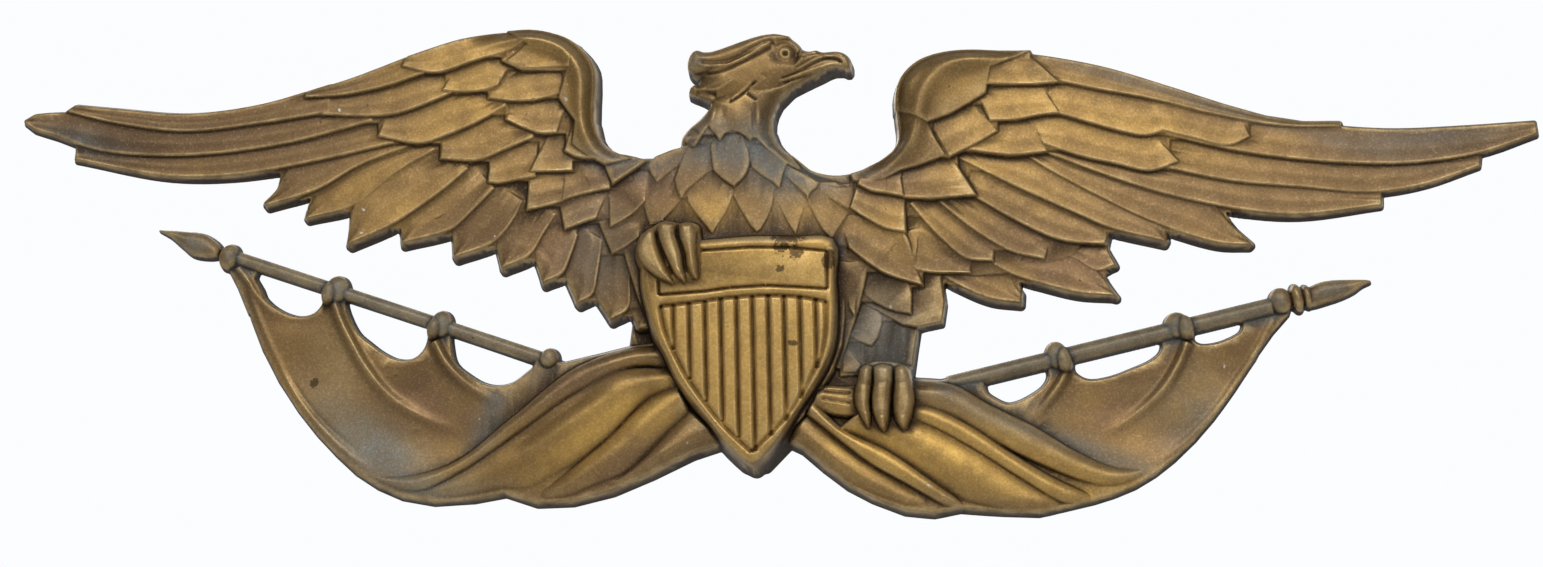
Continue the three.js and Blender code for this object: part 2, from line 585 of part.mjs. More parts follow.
function stripeGrooves() {
  const low = shieldHeight - grooveDepth;
  const high = shieldHeight + cutMargin;
  const border = [...stripeField.left, ...[...stripeField.right].reverse().slice(1)];
  const cuts = [
    prism(ribbon(border, grooveWidth), low, high),
    prism(ribbon(stripeField.arch, grooveWidth), low, high),
  ];
  for (let i = 0; i < stripeField.stripeCount; i += 1) {
    const x = stripeField.firstStripe + i * stripeField.stripePitch;
    const upper = crossing(stripeField.arch, x);
    const side = x < 1 ? stripeField.left : stripeField.right;
    const lower = crossing(side, x);
    const foot = x + (upper - lower) * stripeField.lean;
    const half = grooveWidth / 2;
    cuts.push(prism([[x - half, upper], [foot - half, lower], [foot + half, lower], [x + half, upper]],
      low, high));
  }
  return cuts;
}

const shieldBlock = plateBlock({ outline: shieldOutline, height: shieldHeight, flare: shieldFlare });
const panelCut = prism(panelOutline, shieldHeight - panelDepth, shieldHeight + cutMargin);

// Claws: rounded toes that end in nails

function toe(path, widths, heights) {
  return sheetBlock({
    sides: [widen(path, widths, 1), widen(path, widths, -1)],
    top: heights,
    profile: roundProfile(5),
    steps: 6,
    flare: 1,
  });
}

function widen(path, widths, side) {
  return path.map(([x, z], i) => {
    const before = path[Math.max(0, i - 1)];
    const after = path[Math.min(path.length - 1, i + 1)];
    const normal = new THREE.Vector2(after[1] - before[1], before[0] - after[0]).normalize();
    return [x + normal.x * widths[i] * side, z + normal.y * widths[i] * side];
  });
}

const leftClaw = [
  toe([[-51, -21], [-52, -29], [-49, -38], [-40.5, -47.5]], [5, 5.6, 5, 1.6], [30, 35, 34.5, 32]),
  toe([[-42, -17.5], [-40.5, -26], [-37.5, -38], [-34.5, -49.5]], [5, 6, 5.4, 1.8], [31, 36, 35.5, 32]),
  toe([[-30, -17.5], [-29, -27], [-27.6, -38], [-29, -48]], [6, 6.4, 5.2, 2], [31, 36, 35, 32]),
];

const rightClaw = [
  toe([[56, -90], [56, -100], [55.6, -109], [58, -119]], [4, 4.4, 4.4, 1.2], [26, 28, 27.5, 24]),
  toe([[64.5, -89], [64.6, -100], [64.6, -110], [65.4, -121.5]], [4.4, 4.8, 4.8, 1.4], [27, 30, 29.5, 24]),
  toe([[74.5, -90], [74.5, -100], [74.6, -110], [74.6, -120.5]], [4.8, 5, 5, 2], [26, 29, 28.5, 24]),
];

const rightFoot = roundBar([[40, -92], [56, -86], [70, -86], [80, -88]],
  [[40, -102], [56, -101], [70, -101], [79.4, -100]], [22, 25, 25, 22], 4, 4, 1);

// Flags: a flat hanging cloth, the gathered roll in front of it, and a pole with rings

function gappedCloth({ outline, gaps, height }) {
  const cloth = plateBlock({ outline, height });
  return wasm.Manifold.difference([cloth, ...gaps.map((gap) => prism(gap, -cutMargin, shieldHeight))]);
}

const leftCloth = gappedCloth({
  outline: [
    [-261.3, -33], [-258.2, -45.8], [-254.4, -60.6], [-248.2, -76.7], [-239.8, -92.9],
      [-229.6, -107.6], [-219.4, -120],
    [-209.6, -130.1], [-199.1, -139.1], [-188.3, -146.1], [-176, -151.5], [-160, -154.2], [-140.1, -153],
    [-123.9, -150.4], [-108, -155.2], [-90.1, -154.6], [-70.2, -149.8], [-50.6, -141.6],
      [-30.2, -131.9], [-15.7, -127.2],
    [-15, -100], [-46, -76], [-59.5, -77.7], [-78.2, -82.3], [-95.2, -86], [-104, -83.5],
      [-160, -63.5], [-213.9, -46.4],
  ],
  gaps: [
    [[-252.1, -35.5], [-253.3, -40.7], [-250.1, -48.5], [-244.1, -55.2], [-236.5, -59.4], [-229, -60.6],
      [-222.2, -58.8], [-218.3, -53.1], [-218.5, -46]],
    [[-207.3, -50.5], [-205.8, -56.8], [-200.7, -69.1], [-194.6, -74.8], [-187, -80.1], [-179.4, -83.4],
      [-171.4, -82.9], [-165.4, -77.3], [-163.9, -69.5], [-164.7, -64.7]],
    [[-153.1, -69.4], [-152.6, -75.5], [-150.6, -85], [-143.8, -91.7], [-135.6, -96.3], [-128, -97.5],
      [-120.7, -95.9], [-113.6, -90.6], [-110.2, -87.7], [-109, -84.5]],
  ],
  height: (x, z) => clothHeight + 6 * smoothStep((x + 160) / 110) + 2 * smoothStep((-z - 120) / 30),
});

const leftRolls = [
  roundBar([[-44, -78], [-64, -79.1], [-88.1, -88.6], [-121, -114], [-150, -135.5], [-176, -141.6],
    [-192.3, -142]],
    [[-40, -90], [-56, -88], [-88, -101.5], [-113, -118], [-150, -141], [-174, -149], [-192.4, -143.7]],
    [18, 17.5, 16, 13, 11.5, 8.6], 3, 8, rimFlare),
  roundBar([[-42, -90], [-66, -90.4], [-88, -101.5], [-113, -118], [-140, -135], [-166, -146]],
    [[-36, -100], [-51, -104.5], [-72, -124], [-95, -142], [-117.8, -152.8], [-150, -154.5]],
    [21, 20, 18, 14, 10], 5, 8, rimFlare),
  roundBar([[-38, -97], [-52, -105], [-72, -124.5], [-95, -142.5], [-112, -150.9]],
    [[-31, -112], [-41.5, -121.5], [-60.6, -139.8], [-78.1, -149], [-100, -155.5]],
    [20, 19.5, 18, 14.5, 11], 4.4, 7, rimFlare),
  roundBar([[-31, -111], [-41.5, -121], [-60.6, -139.3], [-76.1, -148.5]],
    [[-13.8, -127.5], [-30.2, -132], [-52.5, -141.9], [-74.1, -150.3]],
    [19, 19, 17, 13], 4.4, 6, rimFlare),
];

const leftClothFolds = [
  roundBar([[-215.3, -57.3], [-211, -73], [-202, -88], [-188, -104], [-166, -120]],
    [[-208.7, -56.6], [-205.4, -73.3], [-195.1, -86.1], [-181, -101], [-162, -114]],
      [8.6, 9.4, 9, 8.4], 2.6, 5),
  roundBar([[-261.1, -34.9], [-256.9, -52.3], [-249.8, -70.6], [-239.8, -89.8], [-226.9, -107.5],
    [-208.8, -126.4]],
    [[-256.6, -37.7], [-252.3, -52.3], [-243.9, -68.3], [-233.7, -86.3], [-221.8, -103.2],
      [-203.2, -121.6]],
    [8.4, 8, 7.6, 7.6], 1.4, 6),
  roundBar([[-164.4, -75.5], [-159.9, -86.1], [-149.2, -97.2], [-134, -108]],
    [[-157.6, -73.9], [-154.2, -82.5], [-145.4, -93.1], [-130.1, -102.2]], [9, 10, 9.4, 9], 2.6, 4),
];

const rightCloth = gappedCloth({
  outline: [
    [262.5, -62], [255.9, -70.5], [251.9, -79.8], [248.5, -86.2], [244.6, -92.1], [239, -100.7],
      [233.9, -107.6], [227.8, -115.5],
    [218.4, -126], [208.1, -135.4], [198.7, -142.5], [188.7, -148.5], [178.9, -152.5],
      [168.8, -155.6], [154.7, -158.8],
    [142, -161.4], [125, -160.6], [103, -159.2], [90, -161.8], [76, -160.3], [60.2, -154.3], [48.3, -147.7],
    [36.8, -139], [25.8, -130], [18.9, -126.5], [20, -105], [44, -90], [80.6, -95.8], [93.8, -96.6],
      [103.6, -94.9],
    [149.6, -85.3], [212, -70.8],
  ],
  gaps: [
    [[114.6, -93.4], [115.7, -102], [120.3, -105.9], [126.9, -108.7], [132.6, -107.6], [140, -103.7],
      [145.1, -99.2], [147.6, -94], [146.5, -86.1]],
    [[159.6, -83.2], [159.5, -91.1], [162.7, -94.8], [167.8, -96.7], [178.4, -95.2], [188.7, -91.5],
      [198.9, -86.6],
      [203.5, -81.5], [203.9, -73.6]],
    [[220, -68.7], [219.1, -76.4], [222.1, -79.1], [228.2, -79.3], [235.6, -77.1], [242.7, -72.7],
      [244.2, -69.6],
      [243.9, -62.9]],
  ],
  height: (x, z) => clothHeight + 6 * smoothStep((170 - x) / 110) + 2 * smoothStep((-z - 120) / 30),
});

const rightRolls = [
  roundBar([[79.5, -95.9], [98.2, -98.6], [117.6, -109.7], [139.5, -120], [160, -132],
    [180, -139.8], [201.8, -138]],
    [[78, -109], [100, -115], [120, -127], [145, -139], [165, -147], [182.9, -149.2], [199.7, -141.5]],
    [19, 18, 16, 13.5, 11, 9], 3.4, 8, rimFlare),
  roundBar([[79, -108.5], [91, -111], [110.5, -121], [128, -133], [148, -145], [170.9, -153.4]],
    [[78, -115.8], [90.5, -120.4], [111, -131.4], [131.5, -144.4], [149.9, -154.3], [171.8, -155.2]],
    [19.5, 18, 15.5, 12.5, 9], 2.4, 7, rimFlare),
  roundBar([[62, -108], [90.5, -119.6], [111, -130.6], [131.5, -143.6], [152.7, -157.1]],
    [[44, -120.5], [68.5, -133.4], [90, -148.4], [109.2, -160.1], [128, -160.7]],
    [22, 20.5, 17.5, 14, 10], 5, 8, rimFlare),
  roundBar([[31, -107], [43.5, -120], [68.5, -132.6], [90, -147.6], [106.1, -158.8]],
    [[28, -113.5], [39.5, -122.6], [59.5, -138], [79, -149], [97.9, -159.4]],
    [21, 20.5, 18, 13.5], 2.4, 7, rimFlare),
  roundBar([[29, -113], [48, -128.6], [74, -145.6], [90, -155]],
    [[18.9, -126.5], [36.8, -139.4], [58.2, -153.6], [84, -161.4]],
    [19.5, 18.5, 16, 12], 4.4, 7, rimFlare),
  roundBar([[34, -99], [48, -100], [60, -98], [83.8, -96.2]],
    [[30, -111], [46, -114], [62, -114], [82, -110]],
    [20, 20, 19.5, 18], 2.6, 4, 1),
];

const rightClothFolds = [
  roundBar([[158, -92.1], [152.2, -103.1], [144, -113.5], [136, -120]],
    [[153, -92], [146.7, -102.1], [139.3, -110.5], [132.1, -115.4]], [9.4, 9.6, 9.4], 2.4, 4),
  roundBar([[219.7, -80.6], [214, -92], [207, -104.6], [193, -118.5], [170, -129.5]],
    [[213.8, -78.2], [208, -91], [200, -103], [187, -114.5], [168, -124]], [9, 9.4, 9, 8.6], 2.6, 5),
  roundBar([[264.5, -65.1], [253.3, -80.7], [243.2, -96.6], [228.8, -116], [207.6, -136.4]],
    [[258.3, -65.7], [247.8, -80.3], [237.9, -94.8], [223.4, -113.7], [203.8, -132.2]],
      [8.4, 8, 7.6, 7.6], 1.2, 6),
];

function poleBar(path) {
  const widths = path.map(() => poleRadius);
  const crown = poleAxisHeight + poleRadius;
  return sheetBlock({
    sides: [widen(path, widths, 1), widen(path, widths, -1)],
    top: [crown, crown],
    profile: roundProfile(2.2),
    steps: 1,
    flare: 0.8,
  });
}

function knob(centre, along, across, height, direction) {
  const axis = new THREE.Vector2(Math.cos(direction), Math.sin(direction));
  const side = (sign) => [-1, -0.66, 0, 0.66, 1].map((t) => {
    const spread = across * Math.sqrt(1 - 0.94 * t * t) * sign;
    return [centre[0] + axis.x * along * t - axis.y * spread, centre[1] + axis.y * along * t + axis.x * spread];
  });
  return sheetBlock({
    sides: [side(1), side(-1)],
    top: [height - 3, height, height - 3],
    profile: roundProfile(3.4),
    steps: 4,
    flare: 0.8,
  });
}

function tiltOf([start, end]) {
  return Math.atan2(end[1] - start[1], end[0] - start[0]);
}

const leftPoleLine = [[-262, -29.8], [-106, -82.6]];
const rightPoleLine = [[98, -97.6], [258, -59.9]];
const leftTilt = tiltOf(leftPoleLine);
const rightTilt = tiltOf(rightPoleLine);

const poles = [
  poleBar(leftPoleLine),
  poleBar(rightPoleLine),
  knob([-266.4, -29.4], 4.8, 6.4, 13, leftTilt),
  knob([-212, -47.4], 6.4, 6.8, 14, leftTilt),
  knob([-158.4, -65.6], 6, 6.6, 14, leftTilt),
  knob([-102.2, -82.9], 4.8, 5.4, 14, leftTilt),
  knob([262.6, -57.4], 5.6, 6.2, 13, rightTilt),
  knob([272, -56], 3.4, 6.4, 13, rightTilt),
  knob([212.4, -69.4], 6.8, 6.4, 14, rightTilt),
  knob([152.8, -84.6], 6.2, 6.6, 15, rightTilt),
  sheetBlock({
    sides: [
      [[-271.2, -24], [-279.4, -17.5], [-289.9, -16], [-303.2, -15]],
      [[-271.4, -29.4], [-284.6, -28.6], [-291.3, -23.6], [-302.8, -16]],
    ],
    top: [11, 12, 11, 7],
    profile: roundProfile(3),
    flare: 0.8,
  }),
  sheetBlock({
    sides: [
      [[274, -51.4], [283.3, -48.2], [295.6, -47.2], [307, -47.8]],
      [[274, -60.4], [287.7, -58.4], [298.5, -53.8], [307.2, -48.8]],
    ],
    top: [11, 12, 11, 7],
    profile: roundProfile(3),
    flare: 0.8,
  }),
];

const clothTies = [
  [[-218.9, -46.9], [-205.8, -50.9], [-206.5, -59.8], [-213, -66], [-218.3, -60.7]],
  [[-165, -65.2], [-151.6, -70.1], [-152.9, -77.5], [-158, -82], [-163.5, -76.6]],
  [[146.4, -85.1], [159.2, -83.1], [159.4, -93.3], [152.1, -104.1], [144, -102], [148.5, -94]],
  [[205.7, -69.5], [220, -67.6], [219.7, -80.6], [212, -86], [201.8, -84.8]],
  [[243.1, -66], [266.7, -61.5], [261.7, -67.4], [254, -75.8], [241.4, -74.5]],
  [[-267.7, -29.3], [-256, -36], [-251.1, -46.5], [-256.9, -52.3], [-260.9, -43.6]],
].map((outline) => plateBlock({ outline, height: 8.4, flare: 0.8 }));

const wristBlock = plateBlock({
  outline: [[-60, -66], [-48, -60], [-44, -84], [-62, -82]],
  height: 10,
  flare: 1.5,
});

// Hollows at the back, and the two peg pockets that it hangs on

const hollows = [
  { depth: 19, outline: [[-38, -34], [28, -34], [30, -60], [24, -86], [2, -112], [-22, -92], [-38, -62]] },
  { depth: 14, outline: [[-50, 6], [-26, 14], [-24, -24], [-50, -24]] },
  { depth: 14, outline: [[24, -2], [42, -6], [40, -24], [24, -24]] },
  { depth: 15, outline: [[-14, 62], [16, 64], [6, 52], [6, 28], [-12, 28], [-12, 46]] },
  { depth: 11, outline: [[-92, 62], [-86, 36], [-84, 6], [-100, -2], [-126, 10], [-126, 32],
    [-112, 34], [-96, 40]] },
  { depth: 11, outline: [[86, 52], [98, 56], [99, 37], [112, 33], [134, 24], [130, 4], [100, -4],
    [84, 8]] },
  { depth: 7.5, outline: [[-132, 60], [-160, 58], [-196, 44], [-196, 34], [-168, 8], [-134, 4],
    [-134, 38]] },
  { depth: 7.5, outline: [[140, 58], [166, 56], [204, 42], [226, 30], [222, 12], [186, -4], [144, 2]] },
  { depth: 9, outline: [[-46, -98], [-60, -96], [-92, -112], [-108, -130], [-92, -142], [-62, -132],
    [-44, -116]] },
  { depth: 9, outline: [[52, -120], [70, -122], [104, -132], [122, -146], [100, -152], [72, -146],
    [52, -134]] },
];

const pegPockets = [[-105, 48], [108, 47]];

function pegPocket([x, z]) {
  const half = pegPocketWidth / 2;
  const straight = (pegPocketHeight - pegPocketWidth) / 2;
  const arc = (start, shift) => Array.from({ length: 7 }, (unused, i) => {
    const angle = start + (Math.PI * i) / 6;
    return [x + half * Math.cos(angle), z + shift + half * Math.sin(angle)];
  });
  return prism([...arc(0, straight), ...arc(Math.PI, -straight)], -cutMargin, pegPocketDepth);
}

// One casting from all the blocks

const reliefBlocks = [
  leftWeb, rightWeb,
  ...leftPrimaries, ...leftSecondaries, ...leftCoverts, ...leftScales,
  ...rightPrimaries, ...rightSecondaries, ...rightCoverts, ...rightScales,
  leftShoulder, rightShoulder, thighBlock, ...thighScales,
  bodyBlock, neckBlock, headBlock, upperBeak, lowerBeak, crestUpper, crestLower,
  browRidge, eyeBall, cheekFeather, ...breastScales,
  leftCloth, ...leftRolls, ...leftClothFolds, rightCloth, ...rightRolls, ...rightClothFolds,
  ...poles, ...clothTies, wristBlock,
];

const shieldSolid = wasm.Manifold.difference([shieldBlock, panelCut, ...stripeGrooves()]);
const relief = wasm.Manifold.union([...reliefBlocks, shieldSolid, ...leftClaw, ...rightClaw, rightFoot]);
const cuts = [
  ...hollows.map(({ depth, outline }) => prism(outline, -cutMargin, depth)),
  ...pegPockets.map(pegPocket),
];
const casting = wasm.Manifold.difference([relief, ...cuts]).asOriginal().simplify(mergeTolerance);

function toGeometry(manifold) {
  const { vertProperties, triVerts } = manifold.getMesh();
  const geometry = new THREE.BufferGeometry();
  geometry.setAttribute('position', new THREE.BufferAttribute(new Float32Array(vertProperties), 3));
  geometry.setIndex(new THREE.BufferAttribute(new Uint32Array(triVerts), 1));
  geometry.computeVertexNormals();
  return geometry;
}

const antiqueGold = new THREE.MeshStandardMaterial({ color: 0xa3834a, roughness: 0.5, metalness: 0.6 });

const group = new THREE.Group();
const plaque = new THREE.Mesh(toGeometry(casting), antiqueGold);
plaque.name = 'eagle_plaque';
group.add(plaque);

export default group;
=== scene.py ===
# Eagle wall plaque: one hollow-backed casting with an antique gold finish, in a pale room.
# Places on its face are [x, z] in millimetres from the middle of the breast: x to the viewer's
# right, z up. Heights are millimetres out from the wall, towards the viewer.
# The face is one height over the wall plane: every feather, fold, bar and claw is laid over the
# others, the highest wins, then creases are carved and the whole is softened as paint softens it.

import math

import bpy
import numpy as np
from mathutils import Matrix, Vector


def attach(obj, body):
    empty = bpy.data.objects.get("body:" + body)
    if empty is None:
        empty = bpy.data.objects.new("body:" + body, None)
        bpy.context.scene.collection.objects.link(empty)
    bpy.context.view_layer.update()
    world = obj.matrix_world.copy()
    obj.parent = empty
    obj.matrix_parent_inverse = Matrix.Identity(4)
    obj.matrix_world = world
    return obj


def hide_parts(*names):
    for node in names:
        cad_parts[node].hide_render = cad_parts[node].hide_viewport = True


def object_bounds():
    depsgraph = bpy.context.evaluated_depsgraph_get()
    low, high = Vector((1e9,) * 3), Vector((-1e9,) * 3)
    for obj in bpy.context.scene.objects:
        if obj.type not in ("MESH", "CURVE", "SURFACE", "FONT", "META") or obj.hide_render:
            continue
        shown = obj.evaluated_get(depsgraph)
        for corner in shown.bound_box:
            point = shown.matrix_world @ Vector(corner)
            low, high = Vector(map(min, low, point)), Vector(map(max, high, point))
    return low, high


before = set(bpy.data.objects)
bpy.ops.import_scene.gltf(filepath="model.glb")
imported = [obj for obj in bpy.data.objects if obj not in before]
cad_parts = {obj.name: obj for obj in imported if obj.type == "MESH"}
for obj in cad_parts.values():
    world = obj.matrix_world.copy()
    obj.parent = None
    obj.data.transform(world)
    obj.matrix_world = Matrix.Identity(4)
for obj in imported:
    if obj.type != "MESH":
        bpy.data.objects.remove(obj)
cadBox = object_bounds()

mm = 0.001

relief = {
    "step": 0.45,  # spacing of the height samples
    "left": -379.0, "right": 395.0, "low": -169.0, "high": 90.0,
    "triangles": 190000,                  # the mesh is reduced to about this many
    "inset": 0.02,                        # how far inside its box the mesh is kept
    "softening": 0.24,                    # how far the paint rounds every edge
    "edgeRound": 0.12,                    # rounding at the top of each wall
    "lipWidth": 0.5, "lipSlope": 4.2,     # a lip's wall near its edge, before it steepens
    "lipShare": 0.45,                     # a lip takes at most this share of its wall
    "rimFlare": 2.6,                      # the walls of the casting lean out by this much
    "scaleFlare": 1.6,                    # and those of single scales by this much
    "scaleCurve": 0.8,                    # below 1 a scale falls fastest at its tip
    "empty": -30.0, "outside": -12.0,     # height of empty places, at first and for the softening
    "least": 0.5,                         # the face is higher than this where it counts as metal
    "leastSlope": 0.5,                    # slope squared of the gentlest wall at the outline
    "crease": 50.0,                       # faces that meet more sharply than this, in degrees, keep an edge
    "thinnest": 3.0,                      # metal left over the hollows
    "pitWidth": 6.0, "pitDepth": 0.8,     # narrower holes between feathers are filled to this depth
    "underFall": 4.0, "underReach": 7.0,  # how the gathered cloth rounds under at its lower edge
}

wing = {
    "tipHeight": 8.0,      # wall to face at the ends of the wings
    "rise": 9.0,           # how much more the wings stand out beside the body
    "reach": 345.0, "shoulder": 80.0,      # distances from the middle at which the rise begins and ends
    "webDepth": 3.4,       # the webs between the feathers lie this much deeper
    "drop": 1.5,           # each feather falls by this much from its lip to its back
    "hollowing": 1.5,      # above 1 the feather is a little hollow across
    "bead": 0.16, "beadPlace": 0.55, "beadWidth": 0.5,     # the fine raised line along a lip
    "fold": 0.3, "foldPlace": 0.42, "foldWidth": 0.15,     # the faint ridge along a feather
}

xLine = np.arange(relief["left"], relief["right"], relief["step"])
zLine = np.arange(relief["low"], relief["high"], relief["step"])
gridX, gridZ = np.meshgrid(xLine, zLine)
face = np.full(gridX.shape, relief["empty"])    # height of the face, below zero outside the casting
hollow = np.zeros(gridX.shape)                  # height of the back, zero where it lies on the wall


def smoothStep(value):
    # 3 t^2 - 2 t^3, from 0 to 1
    t = np.clip(value, 0.0, 1.0)
    return t * t * (3 - 2 * t)


def wingForm(x, z=0):
    # the wings stand out more the nearer they are to the body
    near = (wing["reach"] - np.abs(x)) / (wing["reach"] - wing["shoulder"])
    return wing["tipHeight"] + wing["rise"] * smoothStep(near)


def curveThrough(points, count=30):
    # a centripetal Catmull-Rom curve through the points, then points evenly spaced along it
    knots = np.asarray(points, float)
    if len(knots) == 2:
        return knots[0] + (knots[1] - knots[0]) * np.linspace(0, 1, count + 1)[:, None]
    ends = np.vstack([2 * knots[0] - knots[1], knots, 2 * knots[-1] - knots[-2]])
    gaps = np.sqrt(np.linalg.norm(np.diff(ends, axis=0), axis=1)) + 1e-6
    t = np.linspace(0, 1, 16, endpoint=False)[:, None]
    pieces = []
    for i in range(len(knots) - 1):
        before, first, second, after = ends[i:i + 4]
        a, b, c = gaps[i:i + 3]
        leave = b * ((first - before) / a - (second - before) / (a + b) + (second - first) / b)
        arrive = b * ((second - first) / b - (after - first) / (b + c) + (after - second) / c)
        pieces.append((2 * t**3 - 3 * t**2 + 1) * first + (t**3 - 2 * t**2 + t) * leave
                      + (3 * t**2 - 2 * t**3) * second + (t**3 - t**2) * arrive)
    line = np.vstack(pieces + [knots[-1:]])
    run = np.append(0, np.cumsum(np.linalg.norm(np.diff(line, axis=0), axis=1)))
    even = np.linspace(0, run[-1], count + 1)
    return np.stack([np.interp(even, run, line[:, axis]) for axis in (0, 1)], 1)


def windowOf(points, margin):
    # the rows and columns of the grid that hold the points, with a margin
    low = np.min(points, axis=0) - margin
    high = np.max(points, axis=0) + margin
    cols = slice(*np.searchsorted(xLine, [low[0], high[0]]))
    rows = slice(*np.searchsorted(zLine, [low[1], high[1]]))
    return rows, cols


def lineDistance(px, pz, line):
    # distance to the nearest place on a line of points, and how far along it that is, 0 to 1
    nearest = np.full(px.shape, 1e9)
    along = np.zeros(px.shape)
    count = len(line) - 1
    for i in range(count):
        start, step = line[i], line[i + 1] - line[i]
        t = np.clip(((px - start[0]) * step[0] + (pz - start[1]) * step[1]) / (step @ step + 1e-9), 0, 1)
        square = (px - start[0] - t * step[0])**2 + (pz - start[1] - t * step[1])**2
        closer = square < nearest
        nearest = np.where(closer, square, nearest)
        along = np.where(closer, (i + t) / count, along)
    return np.sqrt(nearest), along


def insideLoop(px, pz, loop):
    # even-odd rule: a ray towards +x leaves the loop an odd number of times
    inside = np.zeros(px.shape, bool)
    for start, end in zip(loop, np.roll(loop, -1, axis=0)):
        if start[1] == end[1]:
            continue
        spans = (pz >= min(start[1], end[1])) & (pz < max(start[1], end[1]))
        inside ^= spans & (px < start[0] + (pz - start[1]) * (end[0] - start[0]) / (end[1] - start[1]))
    return inside


def edgeDistance(px, pz, loop):
    # distance to a closed loop, positive inside
    distance, along = lineDistance(px, pz, np.vstack([loop, loop[:1]]))
    return np.where(insideLoop(px, pz, loop), distance, -distance)


def wallDrop(signed, height, flare):
    # zero inside, then a rounded lip, then as steep as it takes to reach the wall at the flare
    rounding = relief["edgeRound"]
    out = rounding * np.logaddexp(0, -signed / rounding)
    crown = min(relief["lipWidth"], relief["lipShare"] * flare)
    slope = relief["lipSlope"]
    steep = np.maximum((height - crown * slope) / (flare - crown), slope)
    return np.minimum(out, crown) * slope + np.maximum(out - crown, 0) * steep


def layOver(rows, cols, height, signed, flare):
    # the higher of what is there and the new block
    face[rows, cols] = np.maximum(face[rows, cols], height - wallDrop(signed, height, flare))


def laySheet(first, second, top, profile, flare=None, form=None, bead=0.0, within=None):
    # a block between two side curves: height = top(along) + profile(across) + form(x, z); it is cut off
    # at the outline it lies within, and rounded towards it
    flare = flare or relief["rimFlare"]
    sideA, sideB = curveThrough(first), curveThrough(second)
    loop = np.vstack([sideA, sideB[::-1]])
    rows, cols = windowOf(loop, flare + 2)
    px, pz = gridX[rows, cols], gridZ[rows, cols]
    distanceA, alongA = lineDistance(px, pz, sideA)
    distanceB, alongB = lineDistance(px, pz, sideB)
    across = distanceA / (distanceA + distanceB + 1e-6)
    along = alongA * (1 - across) + alongB * across
    ends = [lineDistance(px, pz, np.array([sideA[i], sideB[i]]))[0] for i in (0, -1)]
    border = np.minimum.reduce([distanceA, distanceB] + ends)
    signed = np.where(insideLoop(px, pz, loop), border, -border)
    height = np.interp(along, np.linspace(0, 1, len(top)), top) + profile(across)
    if form:
        height = height + form(px, pz)
    if bead:
        height = height + bead * np.exp(-((distanceA - wing["beadPlace"]) / wing["beadWidth"])**2)
    if within is not None:
        room = edgeDistance(px, pz, np.asarray(within, float))
        signed = np.minimum(signed, room)
        height = height - relief["underFall"] * (1 - np.clip(room / relief["underReach"], 0, 1))**2
    layOver(rows, cols, height, signed, flare)


def featherProfile(across):
    # highest at the lip, falling to the back: -drop (1 - (1 - across)^hollowing), with a soft fold
    fold = wing["fold"] * np.exp(-((across - wing["foldPlace"]) / wing["foldWidth"])**2)
    return fold - wing["drop"] * (1 - np.clip(1 - across, 0, 1)**wing["hollowing"])


def roundProfile(fall):
    # a rounded bar: -fall (2 across - 1)^2
    return lambda across: -fall * (2 * across - 1)**2


def layFeather(lip, back, lift):
    # the wing's form + lift(along) + the feather's profile, with a bead along the lip
    laySheet(lip, back, lift, featherProfile, form=wingForm, bead=wing["bead"])


def layBar(first, second, top, fall, flare=None, within=None):
    # top(along) + the round profile between two side curves
    laySheet(first, second, top, roundProfile(fall), flare, within=within)


def layPlate(outline, height, flare=None, gaps=()):
    # a plate with an outline; height is a number or a function of x and z
    flare = flare or relief["rimFlare"]
    loop = np.asarray(outline, float)
    rows, cols = windowOf(loop, flare + 2)
    px, pz = gridX[rows, cols], gridZ[rows, cols]
    signed = edgeDistance(px, pz, loop)
    for gap in gaps:
        signed = np.minimum(signed, -edgeDistance(px, pz, curveThrough(gap, 40)))
    layOver(rows, cols, height(px, pz) if callable(height) else height + 0 * px, signed, flare)


def carve(points, depth, width, fadeStart=0.08, fadeEnd=0.08):
    # a soft groove, or a ridge where depth is negative: depth exp(-(distance / width)^2),
    # fading out at its ends
    line = curveThrough(points)
    rows, cols = windowOf(line, 3 * width + 1)
    distance, along = lineDistance(gridX[rows, cols], gridZ[rows, cols], line)
    fade = smoothStep(along / max(fadeStart, 1e-3)) * smoothStep((1 - along) / max(fadeEnd, 1e-3))
    face[rows, cols] -= depth * fade * np.exp(-(distance / width)**2)


def widen(path, widths, side):
    # the path moved sideways by its width at each point
    path = np.asarray(path, float)
    step = np.gradient(path, axis=0)
    normal = np.stack([step[:, 1], -step[:, 0]], 1) / np.linalg.norm(step, axis=1)[:, None]
    return path + normal * np.asarray(widths, float)[:, None] * side


def layMound(outline, edge, bulge, reach, flare=1.2):
    # a rounded boss: edge + bulge sqrt(1 - (1 - inside / reach)^2)
    loop = curveThrough(outline + outline[:1], 70)
    rows, cols = windowOf(loop, flare + 2)
    px, pz = gridX[rows, cols], gridZ[rows, cols]
    signed = edgeDistance(px, pz, loop)
    height = edge + bulge * np.sqrt(1 - (1 - np.clip(signed / reach, 0, 1))**2)
    layOver(rows, cols, height, signed, flare)


def dimple(centre, halfWidth, halfHeight, depth):
    # an oval hollow, or a boss where depth is negative: depth exp(-(x / width)^2 - (z / height)^2)
    rows, cols = windowOf([centre], 3 * max(halfWidth, halfHeight))
    px, pz = gridX[rows, cols] - centre[0], gridZ[rows, cols] - centre[1]
    face[rows, cols] -= depth * np.exp(-(px / halfWidth)**2 - (pz / halfHeight)**2)


